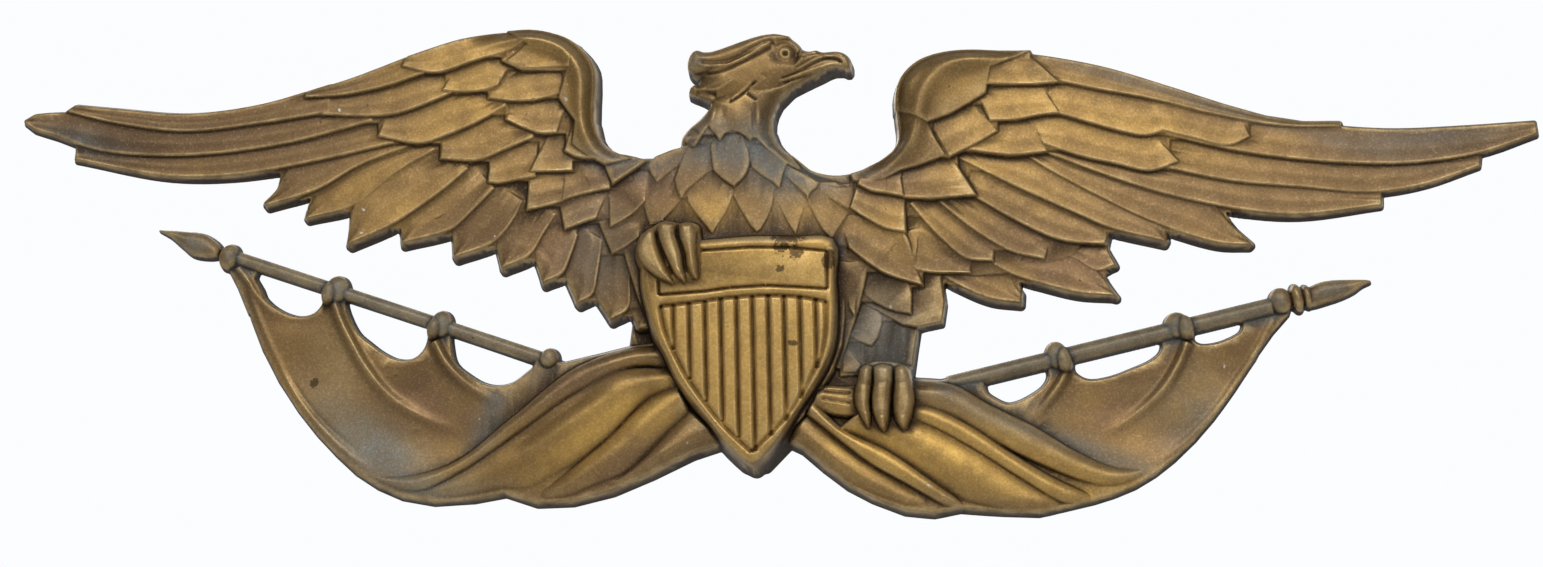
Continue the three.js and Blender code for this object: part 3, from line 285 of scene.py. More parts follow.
# feathers: [lip from root to tip], [back edge], [height over the wing form at root and tip]
feathers = {
    "webs": [
        [[-60.1, 11.6], [-84.2, 25.9], [-84.5, 59.9], [-97.7, 75], [-135, 78], [-175.9, 65.9],
         [-222.1, 50.4], [-288, 42.5], [-339.9, 45.9], [-345.2, 38.6], [-300, 20], [-245, 17], [-225, 10],
         [-203, 2], [-180, -8], [-152, -13], [-130, -20], [-111.2, -26.1], [-96, -33], [-80, -42],
         [-62, -50], [-50, -52]],
        [[59.4, 5.5], [75.7, 14.4], [78.4, 57.4], [97.8, 65.9], [130, 67], [176.1, 57.8], [230.3, 39.1],
         [280, 29.9], [339.9, 27.2], [379.9, 28.9], [350, 16], [300, 8], [250, -6.4], [236, -4],
         [212, -14], [184, -16], [170, -22], [160, -34], [136, -42], [112, -44], [97, -42.9], [60, -50],
         [48, -30]],
    ],
    "leftPrimaries": [
        ([[-215, 43.5], [-250.1, 38.8], [-290, 35.5], [-324.9, 40.2], [-352.7, 47.1]],
         [[-215, 58.3], [-252.2, 48.6], [-290, 44.8], [-324.8, 48], [-348.5, 50.6]], [2.5, 0.4]),
        ([[-193, 38.4], [-240, 27.7], [-290, 23], [-335, 26.5], [-358, 34.6], [-371, 39], [-374.4, 42]],
         [[-193, 52], [-240.1, 42.5], [-300, 38.8], [-339.9, 46.1], [-360, 46.8],
          [-371.6, 45.6], [-374.6, 43.2]], [1.5, 0]),
        ([[-182, 27], [-220, 19.2], [-265, 12.5], [-300, 12.7], [-347.6, 22.2]],
         [[-182, 40], [-240, 30.5], [-290, 26], [-318, 27], [-347.3, 28.7]], [0.5, -0.3]),
    ],
    "leftSecondaries": [
        ([[-173, 26], [-200, 16], [-221, 4.3], [-247.3, -3.5]],
         [[-176, 36], [-235.9, 15.6], [-242.4, 4.8], [-248.8, -1.8]], [-1.2, 0]),
        ([[-160, 24], [-179.5, 13], [-201.9, -4.1], [-226.6, -10.4]],
         [[-170, 29], [-205, 17], [-221.2, 2], [-227.6, -9.2]], [-1.4, -1.4]),
        ([[-143.5, 13.5], [-160, 0], [-183, -15.1], [-204.4, -24.3]],
         [[-158, 26], [-179.5, 15], [-200.5, -1], [-205.3, -23.5]], [-1.2, 0.6]),
        ([[-130, 3], [-140.5, -7.5], [-152, -17.5], [-177.2, -24]],
         [[-142, 17], [-160, 3], [-177, -11], [-177.5, -22]], [-1.4, -1]),
        ([[-115.5, -3.5], [-120.5, -13.5], [-130.3, -24.5], [-149.8, -31.6]],
         [[-129, 6], [-141, -4], [-150.5, -14], [-150.8, -30]], [-1.6, -1.6]),
        ([[-98.5, -10.5], [-104.5, -20], [-111.8, -31.4], [-125.8, -37.7]],
         [[-114, 0], [-120.5, -10], [-128.6, -22.4], [-126.6, -36.4]], [-1.6, -1]),
        ([[-87.5, -21.5], [-91, -32], [-95.1, -40.9], [-105, -45.5]],
         [[-97, -8], [-104, -16], [-109.4, -28.2], [-105.6, -43.9]], [-1.6, -0.4]),
        ([[-75, -24], [-77.5, -42], [-79.8, -51.5], [-87.3, -56]],
         [[-87, -16], [-90.5, -30], [-94, -39], [-88.4, -54.8]], [-1.6, -1.2]),
        ([[-60.5, -27], [-61, -44], [-61.7, -58.9], [-70.8, -64.6]],
         [[-74, -20], [-77, -40], [-79, -50], [-71.7, -63.3]], [-1.4, -1]),
        ([[-46, -30], [-48, -45], [-50.6, -66.5], [-56.4, -69.1]],
         [[-60, -26], [-60.5, -42], [-61.1, -56.6], [-57.6, -68.1]], [-1.4, -1.4]),
    ],
    "leftCoverts": [
        ([[-166, 62], [-185, 56], [-207.1, 52], [-227.9, 51.2]],
         [[-167.8, 73.6], [-180, 69.2], [-205.1, 60.4], [-227.1, 54.4]], [4.8, 3.6]),
        ([[-150, 52.6], [-165, 46.5], [-182, 41.4], [-200, 41], [-219, 42.3]],
         [[-158, 64], [-170, 62], [-190, 56.2], [-213, 53.3]], [3.2, 2.6]),
        ([[-124, 44.4], [-140, 36], [-155, 30], [-168, 26.3], [-190, 30.5]],
         [[-126, 56], [-152, 54], [-170, 47], [-185, 43]], [2.2, 1.8]),
        ([[-110, 28.2], [-125, 22.2], [-138, 17.2], [-158, 18.2]],
         [[-112, 42], [-124, 44.4], [-140, 37], [-156, 31]], [1.4, 1]),
        ([[-109, 8.3], [-118, 6.8], [-128, 5.3], [-133.4, 6]],
         [[-108, 27], [-118, 25], [-127, 22], [-132, 19]], [0.8, 0.4]),
        ([[-95, -4.6], [-104, -7], [-113.4, -8.8]],
         [[-94, 12], [-104, 12], [-112, 9.5]], [0.8, 0.6]),
    ],
    "leftScales": [
        ([[-112, 78.8], [-121.5, 72.8], [-140, 67.6], [-160, 61.9], [-177.5, 65.8]],
         [[-112, 82.9], [-128, 82.7], [-150, 78.6], [-174.9, 71.1]], [6, 5.4]),
        ([[-92, 63.5], [-106, 63], [-117, 63.4], [-126.5, 67.3]],
         [[-89.7, 76.6], [-103.8, 77], [-117, 74.8], [-123, 72]], [6.4, 5.6]),
        ([[-128, 55], [-133, 53], [-145, 51.8], [-157, 53]],
         [[-122, 66], [-135, 71], [-145, 67], [-151, 63]], [4.4, 3.8]),
        ([[-97, 49.6], [-107, 47.2], [-120, 46.6], [-133.5, 48.5]],
         [[-94, 65], [-106, 65], [-117, 63.5], [-128, 57]], [4.8, 3.6]),
        ([[-98, 30], [-107, 30], [-115, 33], [-124.5, 37.7]],
         [[-92, 50], [-104, 50], [-113, 48.5], [-121, 43.5]], [3.6, 2.8]),
        ([[-89, 36.5], [-93, 43], [-97, 50]],
         [[-83, 59.8], [-88, 62], [-95, 62]], [5.6, 5]),
        ([[-90, 10.7], [-101, 10.6], [-112, 10.8]],
         [[-90, 31], [-97, 31], [-103, 29]], [2.4, 1.6]),
        ([[-74.8, 16.3], [-82, 16.4], [-88, 17.4], [-94, 20.5]],
         [[-79.4, 35.6], [-82.3, 37.9], [-86.1, 38], [-90, 35]], [5.2, 4.4]),
        ([[-71, 1.5], [-80, -0.2], [-88, -2], [-95.5, -4.4]],
         [[-73.4, 17.7], [-80.1, 17.9], [-88, 17], [-94, 11]], [2.2, 1]),
        ([[-78, -13.5], [-84, -15.2], [-94, -19]],
         [[-72, 1.5], [-84, 0.5], [-97, -5]], [1.2, 0.4]),
        ([[-53, -5.5], [-58, -10.5], [-64, -14.6], [-71, -18]],
         [[-52.2, 10.4], [-60, 9], [-68, 5], [-72, 0]], [3.2, 1.2]),
        ([[-56, -23.5], [-63, -28.3], [-70, -31.5]],
         [[-56, -8], [-68, -12], [-77, -15]], [2.4, 0.4]),
        ([[-52.3, 14.8], [-60.1, 9.5], [-69.5, 3.2]],
         [[-58.3, 16.9], [-68.3, 18.9], [-75.3, 16.8]], [5.6, 4.2]),
    ],
    "rightPrimaries": [
        ([[138, 56.7], [172, 49.1], [200.2, 43.9], [230.2, 36.4], [265.2, 30.3], [293.7, 30]],
         [[138.2, 67.8], [176.1, 60.6], [208.4, 50.8], [240.4, 40.4], [268.1, 33.1], [294, 32.6]],
         [5, 0.8]),
        ([[207, 26], [245, 17.2], [290, 11.8], [330, 11.2], [364.6, 16.3], [391.1, 25.4]],
         [[207.1, 40.3], [245.4, 37.1], [290.1, 30.7], [320, 28.7], [354.9, 29.8], [390.6, 31.9]],
         [2, -0.2]),
        ([[207, 9.3], [240, 2.5], [275, -0.7], [308.3, -3.5], [335.1, 0.3], [362.4, 9.5]],
         [[207, 25], [245, 20], [290, 14.5], [325, 14.1], [345, 15.6], [363.4, 15.1]], [1, -0.8]),
        ([[147, 17.5], [180, 4.8], [210, -4.7], [249.9, -12.8], [275.1, -14.4], [313.3, -9.8]],
         [[147, 30], [185, 14], [215, 11], [250, 4.5], [285, 1.5], [313.7, -4.2]], [0, 0.4]),
    ],
    "rightSecondaries": [
        ([[138, 15.8], [150, 8], [170, -3.1], [200, -17.9], [232, -28.6], [247.9, -29.4]],
         [[143, 25], [170, 12], [205, 1], [229, -8.5], [238.7, -19.3], [248.8, -28.7]], [-1, 0.6]),
        ([[102, 16], [120, 6.4], [140, -3.4], [160, -12.5], [179.7, -21.2], [206, -27.8]],
         [[118, 20], [138, 18], [160, 5], [185, -7], [204.7, -18.6], [206.7, -26.4]], [-0.8, 0.8]),
        ([[112, -5], [130, -15.7], [150, -25.4], [161, -28], [176.3, -28.7]],
         [[102, 12], [130, 3.5], [155, -7.5], [172, -15], [178, -22.2]], [-0.6, -0.6]),
        ([[153, -32.3], [162, -36.4], [171.8, -41.9], [181.2, -38.8]],
         [[150, -24], [160, -26], [171.8, -27], [177.3, -31.4]], [-3.5, -3]),
        ([[120, -38.3], [130, -43.6], [147.9, -49.4], [163.4, -53.2], [179.8, -54.4]],
         [[121, -26], [140, -30], [155, -31], [170, -40], [181.6, -54.9]], [-3.2, -1.4]),
        ([[92.5, -6], [106, -17.5], [120, -27.2], [130, -32.5], [146, -36]],
         [[101, 3], [118, -6], [135, -16.5], [148, -23], [149, -27]], [-0.6, -2]),
        ([[79, -7.8], [87, -17.4], [97, -27.8], [107, -35.5], [120.5, -36.9]],
         [[88, 0], [97, -9], [108, -17], [116, -24], [121.5, -29]], [-0.2, -1.6]),
        ([[95.4, -44.3], [106.2, -50.4], [119.6, -55.9], [134, -57.8]],
         [[104, -34], [115, -38], [126, -43], [134.3, -53.1]], [-3.6, -2.6]),
        ([[82, -41.5], [91, -42.8], [100, -42.8], [109.5, -42.8]],
         [[77, -22], [84, -20], [98, -30], [108, -36.5]], [0.8, -2.2]),
    ],
    "rightCoverts": [
        ([[116, 51.5], [130, 51.2], [142, 51.2], [154.5, 52.2]],
         [[108, 69.6], [120, 69.8], [130, 69.6], [137.1, 68.6]], [6, 5.6]),
        ([[154, 36.5], [170, 31.7], [184, 27.7], [197, 25.4], [208, 28.5]],
         [[146, 53.1], [165.1, 52.8], [182.1, 48.8], [197.2, 45.5]], [3.8, 2.8]),
        ([[205, 28], [220, 24.2], [238, 20.3], [249, 24.7]],
         [[197.2, 45.5], [215.4, 44], [230.3, 39.1], [244.3, 35.6]], [3, 2.4]),
        ([[145.8, 21.5], [165, 15], [182, 11.2], [199, 7.7], [213.5, 12.4]],
         [[140, 35], [160, 36], [180, 30], [200.5, 27]], [2.6, 1.8]),
        ([[119.5, 33], [132, 33.4], [146, 36], [154.5, 36.8]],
         [[112, 50], [122, 53], [134, 53], [145.3, 51.5]], [4.6, 4.2]),
        ([[109, 18.5], [122, 16.6], [131, 15.8], [148, 17.6]],
         [[111, 36], [120, 36], [130, 35.5], [140, 35.5]], [3, 2.4]),
    ],
    "rightScales": [
        ([[88, 33.7], [99, 36.7], [109, 42], [117.6, 47.2]],
         [[90.8, 60.6], [95.8, 62.7], [100.8, 63.5], [107, 60.8]], [5.6, 5]),
        ([[99, 14.8], [105, 17.8], [113, 21.8], [123.5, 28]],
         [[88, 35], [98, 39], [106, 42], [111.5, 41.5]], [4.2, 3.8]),
        ([[74, 11.2], [84, 12.2], [90, 14.6], [97, 18.3]],
         [[76.4, 42], [82, 42], [86, 38], [89, 34]], [4.2, 3.4]),
        ([[76.5, -5.2], [90, -5.8], [102, -4.9], [112.5, -4.2]],
         [[74.5, 12.6], [84, 14.5], [92, 18], [99.5, 16.5]], [2.6, 2.2]),
        ([[53.5, 1.4], [59.8, -1.8], [68, -3.2], [76.5, -4.8]],
         [[55.3, 9], [61, 11], [66.8, 12.9], [74, 11.7]], [5.4, 3.4]),
        ([[49.5, -10.3], [58, -15.8], [67, -20.6], [77.3, -22.6]],
         [[53.4, 2.3], [59.8, -0.3], [67.9, -1.8], [76.5, -4]], [4, 2.2]),
        ([[49, -30.5], [59.5, -38.7], [68, -43.8], [85.5, -49.3]],
         [[44, -16], [54, -13], [66, -20], [76.5, -23], [82.5, -41]], [3.6, 1.8]),
    ],
}


def buildWings():
    # feathers from the lowest layer up; webs of metal join them from behind
    for web in feathers["webs"]:
        layPlate(web, lambda x, z: wingForm(x) - wing["webDepth"])
    for name, layer in feathers.items():
        if name != "webs":
            for feather in layer:
                layFeather(*feather)


# each shoulder: silhouette, then the points where its inner edge hangs over the feathers
shoulders = {
    "height": 22.4,
    "crestHeight": 2.6, "crestWidth": 4.6, "crestFades": (0.3, 0.25),
    "rimDepth": 5.0, "rimWidth": 3.4, "rimFades": (0.15, 0.2),
    "plates": [
        ([[-60, 16], [-64.2, 17.5], [-74.8, 23.9], [-79.4, 33], [-79.9, 44], [-79.6, 56], [-80.8, 65.5],
          [-91.6, 77.8], [-104, 82.6], [-113, 83.9], [-124, 83.4]],
         [[-113, 75.3], [-124.6, 66.4], [-115.8, 62.2], [-93.3, 61.6], [-97.1, 47.7], [-88.3, 35.4],
          [-90.1, 24], [-82.3, 18], [-73.5, 13.5]], 0.0),
        ([[72.7, 40], [72.7, 48], [75.6, 57], [82.5, 64.1], [90, 67.6], [99.8, 69.6], [112, 70],
          [125, 69.3], [140, 68.6]],
         [[120, 60], [117.6, 47.2], [109, 41.8], [99, 36.3], [88.4, 32.6]], 0.3),
        ([[50, 7], [55.3, 9], [60, 11.6], [65.7, 15], [71.6, 20], [74.2, 26], [73.4, 36], [72.7, 44]],
         [[88, 46], [88.4, 32.5], [92.4, 24], [97.4, 15.9], [90, 13.2], [84, 11], [75.1, 8.7], [66, 4],
          [57, 2], [51, 3.6]], -1.0),
    ],
    "crests": [[[-140, 77.4], [-126, 79], [-113, 78.8], [-101, 76.4], [-91.2, 69.8], [-85.4, 57],
                [-84.4, 42], [-82.2, 30.4], [-75.4, 20.6], [-66, 14]],
               [[136, 64], [120, 64.6], [105, 63.6], [94.6, 58.4], [86.9, 48.4], [84, 38.3], [83, 29.9],
                [79.4, 21.6], [72.5, 14.3], [62, 8]]],
    "rims": [[[-60, 15.8], [-65, 17.6], [-75.4, 24.4], [-80, 34], [-80.6, 44], [-80.2, 56], [-81.4, 65.2],
              [-92, 77.4], [-104.4, 82.4], [-114, 83.6], [-130, 82.8], [-150, 79]],
             [[46, 6.6], [52.3, 7.5], [58.8, 10.9], [65.7, 15], [71.6, 20], [74.4, 26], [73.6, 36],
              [73, 46], [76, 57], [82.8, 63.8], [90, 67.4], [100, 69.4], [114, 69.8], [130, 69.2],
              [152, 66.6]]],
}


def buildShoulders():
    # flat plates, a raised ridge along each and a groove that rounds its outer rim
    for silhouette, inner, lift in shoulders["plates"]:
        layPlate(np.vstack([curveThrough(silhouette), inner]), shoulders["height"] + lift)
    for crest in shoulders["crests"]:
        carve(crest, -shoulders["crestHeight"], shoulders["crestWidth"], *shoulders["crestFades"])
    for rim in shoulders["rims"]:
        carve(rim, shoulders["rimDepth"], shoulders["rimWidth"], *shoulders["rimFades"])


# scales over the leg: [outline], [tip], [root], height at the tip, fall to the root
thigh = {
    "outline": [[50, -32], [70, -40], [93.4, -43.8], [94.2, -51.7], [94.2, -60], [93.6, -66.3], [86, -68.4],
                [82.6, -69.8], [81, -79.9], [79.3, -92], [44, -94], [44, -60]],
    "height": 13.6, "flare": 2.0,
    "fall": 2.0, "inner": 50.0, "across": 50.0,    # it falls outwards from the inner side
    "scales": [
        ([[56.3, -58], [62.5, -61], [69.1, -64.9], [74.9, -68.3], [82.7, -69.6], [88.9, -68.4],
          [94.7, -67.2], [96.1, -57.6], [94.1, -44.2], [80, -40], [56, -44]], [84, -69], [70, -40], 15.8,
          2.4),
        ([[47.9, -73.4], [54.1, -76.8], [59.5, -79], [62.8, -74.8], [64.9, -68.2], [65.1, -64], [56, -56],
          [47, -58]], [59.5, -79], [54, -58], 15.4, 2.0),
        ([[46, -79], [48.3, -80.6], [51.6, -84.8], [54.5, -88.1], [54, -92], [45, -92]], [54, -90],
          [46, -78], 14.6, 1.0),
        ([[53.1, -36.2], [55, -46], [56.7, -53.9], [60.9, -56.8], [67.5, -60.3], [72.4, -62], [79.5, -63.3],
          [79.9, -53.3], [76, -40], [60, -34]], [79.5, -63.3], [56, -38], 17.6, 2.2),
        ([[49.2, -31.1], [51.8, -35.3], [53, -42.1], [52.6, -53], [51.5, -64.3], [48.8, -60.5], [46, -40]],
         [51.5, -64], [48, -32], 18.2, 1.2),
    ],
}


def layScale(outline, tip, root, top, drop, form=None):
    # a scale that falls from its tip to its root: form + top - drop along^curve
    tip, root = np.asarray(tip, float), np.asarray(root, float)
    reach = root - tip

    def height(x, z):
        along = np.clip(((x - tip[0]) * reach[0] + (z - tip[1]) * reach[1]) / (reach @ reach), 0, 1)
        return (form(x, z) if form else 0) + top - drop * along**relief["scaleCurve"]

    layPlate(outline, height, relief["scaleFlare"])


def thighForm(x, z):
    # height - fall, smoothly, from the inner side outwards
    return thigh["height"] - thigh["fall"] * smoothStep((x - thigh["inner"]) / thigh["across"])


def buildThigh():
    # the leg's plate with its scales over it
    layPlate(thigh["outline"], thighForm, thigh["flare"])
    for scale in thigh["scales"]:
        layScale(*scale)


body = {
    "left": [[-32.4, 29.3], [-34.1, 24.6], [-38.2, 18.4], [-46, 16.8], [-52.3, 15.9], [-66, -10],
             [-58, -50], [-40, -90]],
    "right": [[10.1, 29.7], [12.8, 23.2], [20.7, 15.7], [29.4, 9.6], [43.6, 6.5], [58, 8], [58, -40],
              [44, -90]],
    "top": [19, 20, 21, 21, 21, 22, 20, 18],
    "fall": 4.0,
    "middle": 24.4, "spread": 60.0, "sag": 6.5,    # the breast is rounded from side to side
    "centre": -3.0, "lean": 0.04,                  # about this x, and lower towards the neck
    "drop": 1.1,                                   # a breast scale falls this much to its root
    "plate": [[-33, 28], [-38.2, 18.4], [-52.3, 15.9], [-60, -4], [-58, -34], [50, -34], [60, -4],
              [60, 11], [52.3, 7.5], [43.6, 6.4], [34.9, 7.6], [29.4, 9.5], [25, 12.3], [20.7, 15.6],
              [12.8, 23], [10, 29]],
    "under": 1.3, "plateFall": 6.5, "plateReach": 6.5,    # the plate under the scales, rounded off
}

# breast scales: [outline with the lip first], [tip], [root], height over the breast's form
breastScales = [
    ([[-52.3, 12.8], [-50.1, 8.1], [-47.2, 3.9], [-44.5, 5.9], [-40, 9.6], [-34.5, 14], [-30.9, 22.5],
      [-40.1, 20.4], [-48.2, 17.4]], [-47, 4.3], [-38.2, 18.4], 0.1),
    ([[-38.3, 5.2], [-37.3, 0.2], [-35.8, -3], [-34.6, -5], [-33.2, -2.4], [-31.4, 0], [-28, 2.6],
      [-22.4, 7.2], [-18.7, 9.6], [-16, 20], [-22.5, 26.6], [-30.9, 22.5], [-35.1, 14.3]], [-34, -4],
      [-24.2, 20.2], 0.2),
    ([[-18.7, 9.6], [-17.5, 8], [-14.3, 5], [-10.4, 2], [-8.1, 0.6], [-6.1, 2.5], [-3.7, 4.9],
      [-1.9, 7.7], [-0.6, 11.8], [-0.4, 15], [-1.2, 19.3], [-4, 27], [-14.2, 29.2], [-20.2, 22.2]],
     [-8, 1], [-11, 26], 0.9),
    ([[-2, 20], [-0.4, 14], [0.6, 10.4], [4.5, 7], [8.5, 4.4], [11.8, 2.2], [14.4, -0.2], [15.3, 3],
      [16.2, 7.2], [18.8, 12.9], [7.1, 23.8], [0, 26]], [14, 0], [4, 20], 0.3),
    ([[16.2, 7.2], [20, 3.2], [23.8, -0.2], [27.8, -4], [28.5, -5.6], [30.1, -2.2], [32.8, -0.1],
      [34.2, 2.5], [25.6, 7.4], [18.4, 11.4]], [28.4, -5], [21.7, 9.8], 0.1),
    ([[33, -0.2], [37.4, -3.6], [41.5, -6.8], [45, -9], [48.6, -10.6], [51.4, -5.8], [52.6, -1.4],
      [50, 0.6], [43, 0.4], [34.6, 1.8]], [48.4, -10], [40, 0.8], -0.1),
    ([[-54.6, -5], [-53.9, -8], [-52.6, -12], [-50.5, -17.5], [-46, -18], [-42.3, -13.8], [-40.2, -11.8],
      [-37, -8], [-34.6, -5], [-30, 4], [-44.1, 12.6], [-53.2, 9.1]], [-46, -16], [-42.1, 10.3], -0.1),
    ([[-31.8, -5.5], [-31.3, -7.2], [-27.2, -13], [-23.2, -18], [-19.1, -23], [-15.8, -18.1],
      [-12.6, -13.2], [-10.2, -8.2], [-9, -4], [-8, 6], [-20, 12], [-32, 2]], [-19, -22], [-20, 8], -0.1),
    ([[-8.6, -4], [-6.3, -9], [-3, -14.6], [0.2, -19.5], [3.2, -22.6], [5.4, -21], [8.7, -15.3],
      [10.7, -10.4], [11.6, -5.5], [12, 6], [2, 12], [-8, 6]], [3, -22], [2, 8], -0.1),
    ([[12.6, -5], [15.8, -12.8], [19.5, -19.5], [22.7, -24], [24.5, -17.7], [26.5, -11.2], [27.7, -8.8],
      [28.7, 1.3], [19.8, 7.9], [12, 6]], [22.6, -23], [19.9, 5.9], -0.5),
    ([[28.2, -8], [30.2, -10.8], [32.6, -16], [35.8, -21.2], [39.6, -25.6], [41, -25.6], [43.5, -21],
      [46.7, -16.3], [49.1, -12.3], [50.8, -1.2], [42, 3.1], [29.6, 2.9]], [40, -25], [40, 1.1], -0.3),
]

# the neck's collar hangs over the breast in points; the neck is rounded towards its silhouette
neck = {
    "silhouette": [[-20.5, 46.4], [-20.9, 42.4], [-23, 39.6], [-26, 36.4], [-30.2, 32.8], [-32.9, 30.1],
                   [-34.8, 27.2], [-35.2, 24.6], [-33.4, 22.2], [-36.1, 12.2], [0, 0], [29.8, -0.6],
                   [25, 11.2], [20.3, 16.5], [16.3, 19.5], [12.9, 22.7], [11, 26.4], [10.2, 30.8],
                   [10.4, 35.8], [11.5, 40.1], [13.8, 44.8], [20.2, 51], [0, 60]],
    "collar": [[-28.3, 21.6], [-26.6, 23.5], [-24.8, 26.3], [-21.2, 31.7], [-17.5, 27.3], [-15.3, 24.3],
               [-13.2, 27.4], [-9.7, 29.4], [-5.6, 28.1], [-2.2, 26], [-0.2, 24], [1.4, 25.2], [2.9, 25.4],
               [4.7, 23.7], [8.1, 20.1], [13, 15.8], [17.2, 13], [24, 9.7], [28.8, 10.3], [20.3, 17.5],
               [16.2, 19.9], [12.9, 22.9], [11, 26.4], [10.2, 30.8], [10.4, 35.8], [11.5, 40.1],
               [13.8, 44.8], [20.8, 52], [-18, 54], [-20.9, 42.4], [-23, 39.6], [-26, 36.4], [-30.2, 32.8],
               [-32.9, 30.1], [-34.8, 27.2], [-35.2, 24.6], [-33.5, 22.4]],
    "edge": 15.5, "bulge": 9.3, "reach": 11.0,
    "fade": 0.45,          # the share of each ridge that fades out at both ends
    "ridges": [
        ([[-6.5, 46], [-6.8, 36], [-8, 28]], -0.7, 3.0), ([[2.2, 46], [1.6, 36], [2.1, 26]], 0.8, 1.1),
        ([[4.6, 41], [4.2, 36], [3.6, 31]], -0.6, 1.2),
        ([[-18.6, 45.2], [-18.7, 38.6], [-21, 32.1]], -0.7, 0.9),
        ([[-13, 44], [-13.9, 37.3], [-13.2, 31.2]], 0.6, 1.8),
        ([[-24.8, 26.4], [-29.1, 30.5], [-32.4, 29.3]], 0.8, 0.8),
    ],
    "curl": ([-32.9, 25.1], 2.6, 2.6, -2.0),
}


def breastForm(x, z):
    # middle - sag ((x - centre) / spread)^2 - lean z
    across = (x - body["centre"]) / body["spread"]
    return body["middle"] - body["sag"] * across**2 - body["lean"] * z


def buildBody():
    # a rounded bar, the breast's plate and scales over it, then the neck, rounded at its silhouette
    layBar(body["left"], body["right"], body["top"], body["fall"])
    plate = np.asarray(body["plate"], float)

    def plateForm(x, z):
        # breast form - under - fall (1 - inside)^2
        inside = np.clip(edgeDistance(x, z, plate) / body["plateReach"], 0, 1)
        return breastForm(x, z) - body["under"] - body["plateFall"] * (1 - inside)**2

    layPlate(plate, plateForm)
    for scale in breastScales:
        layScale(*scale, body["drop"], breastForm)
    silhouette = np.asarray(neck["silhouette"], float)

    def neckForm(x, z):
        # edge + bulge sqrt(1 - (1 - inside)^2)
        inside = np.clip(edgeDistance(x, z, silhouette) / neck["reach"], 0, 1)
        return neck["edge"] + neck["bulge"] * np.sqrt(1 - (1 - inside)**2)

    layPlate(neck["collar"], neckForm, relief["scaleFlare"])
    for ridge in neck["ridges"]:
        carve(*ridge, neck["fade"], neck["fade"])
    dimple(*neck["curl"])


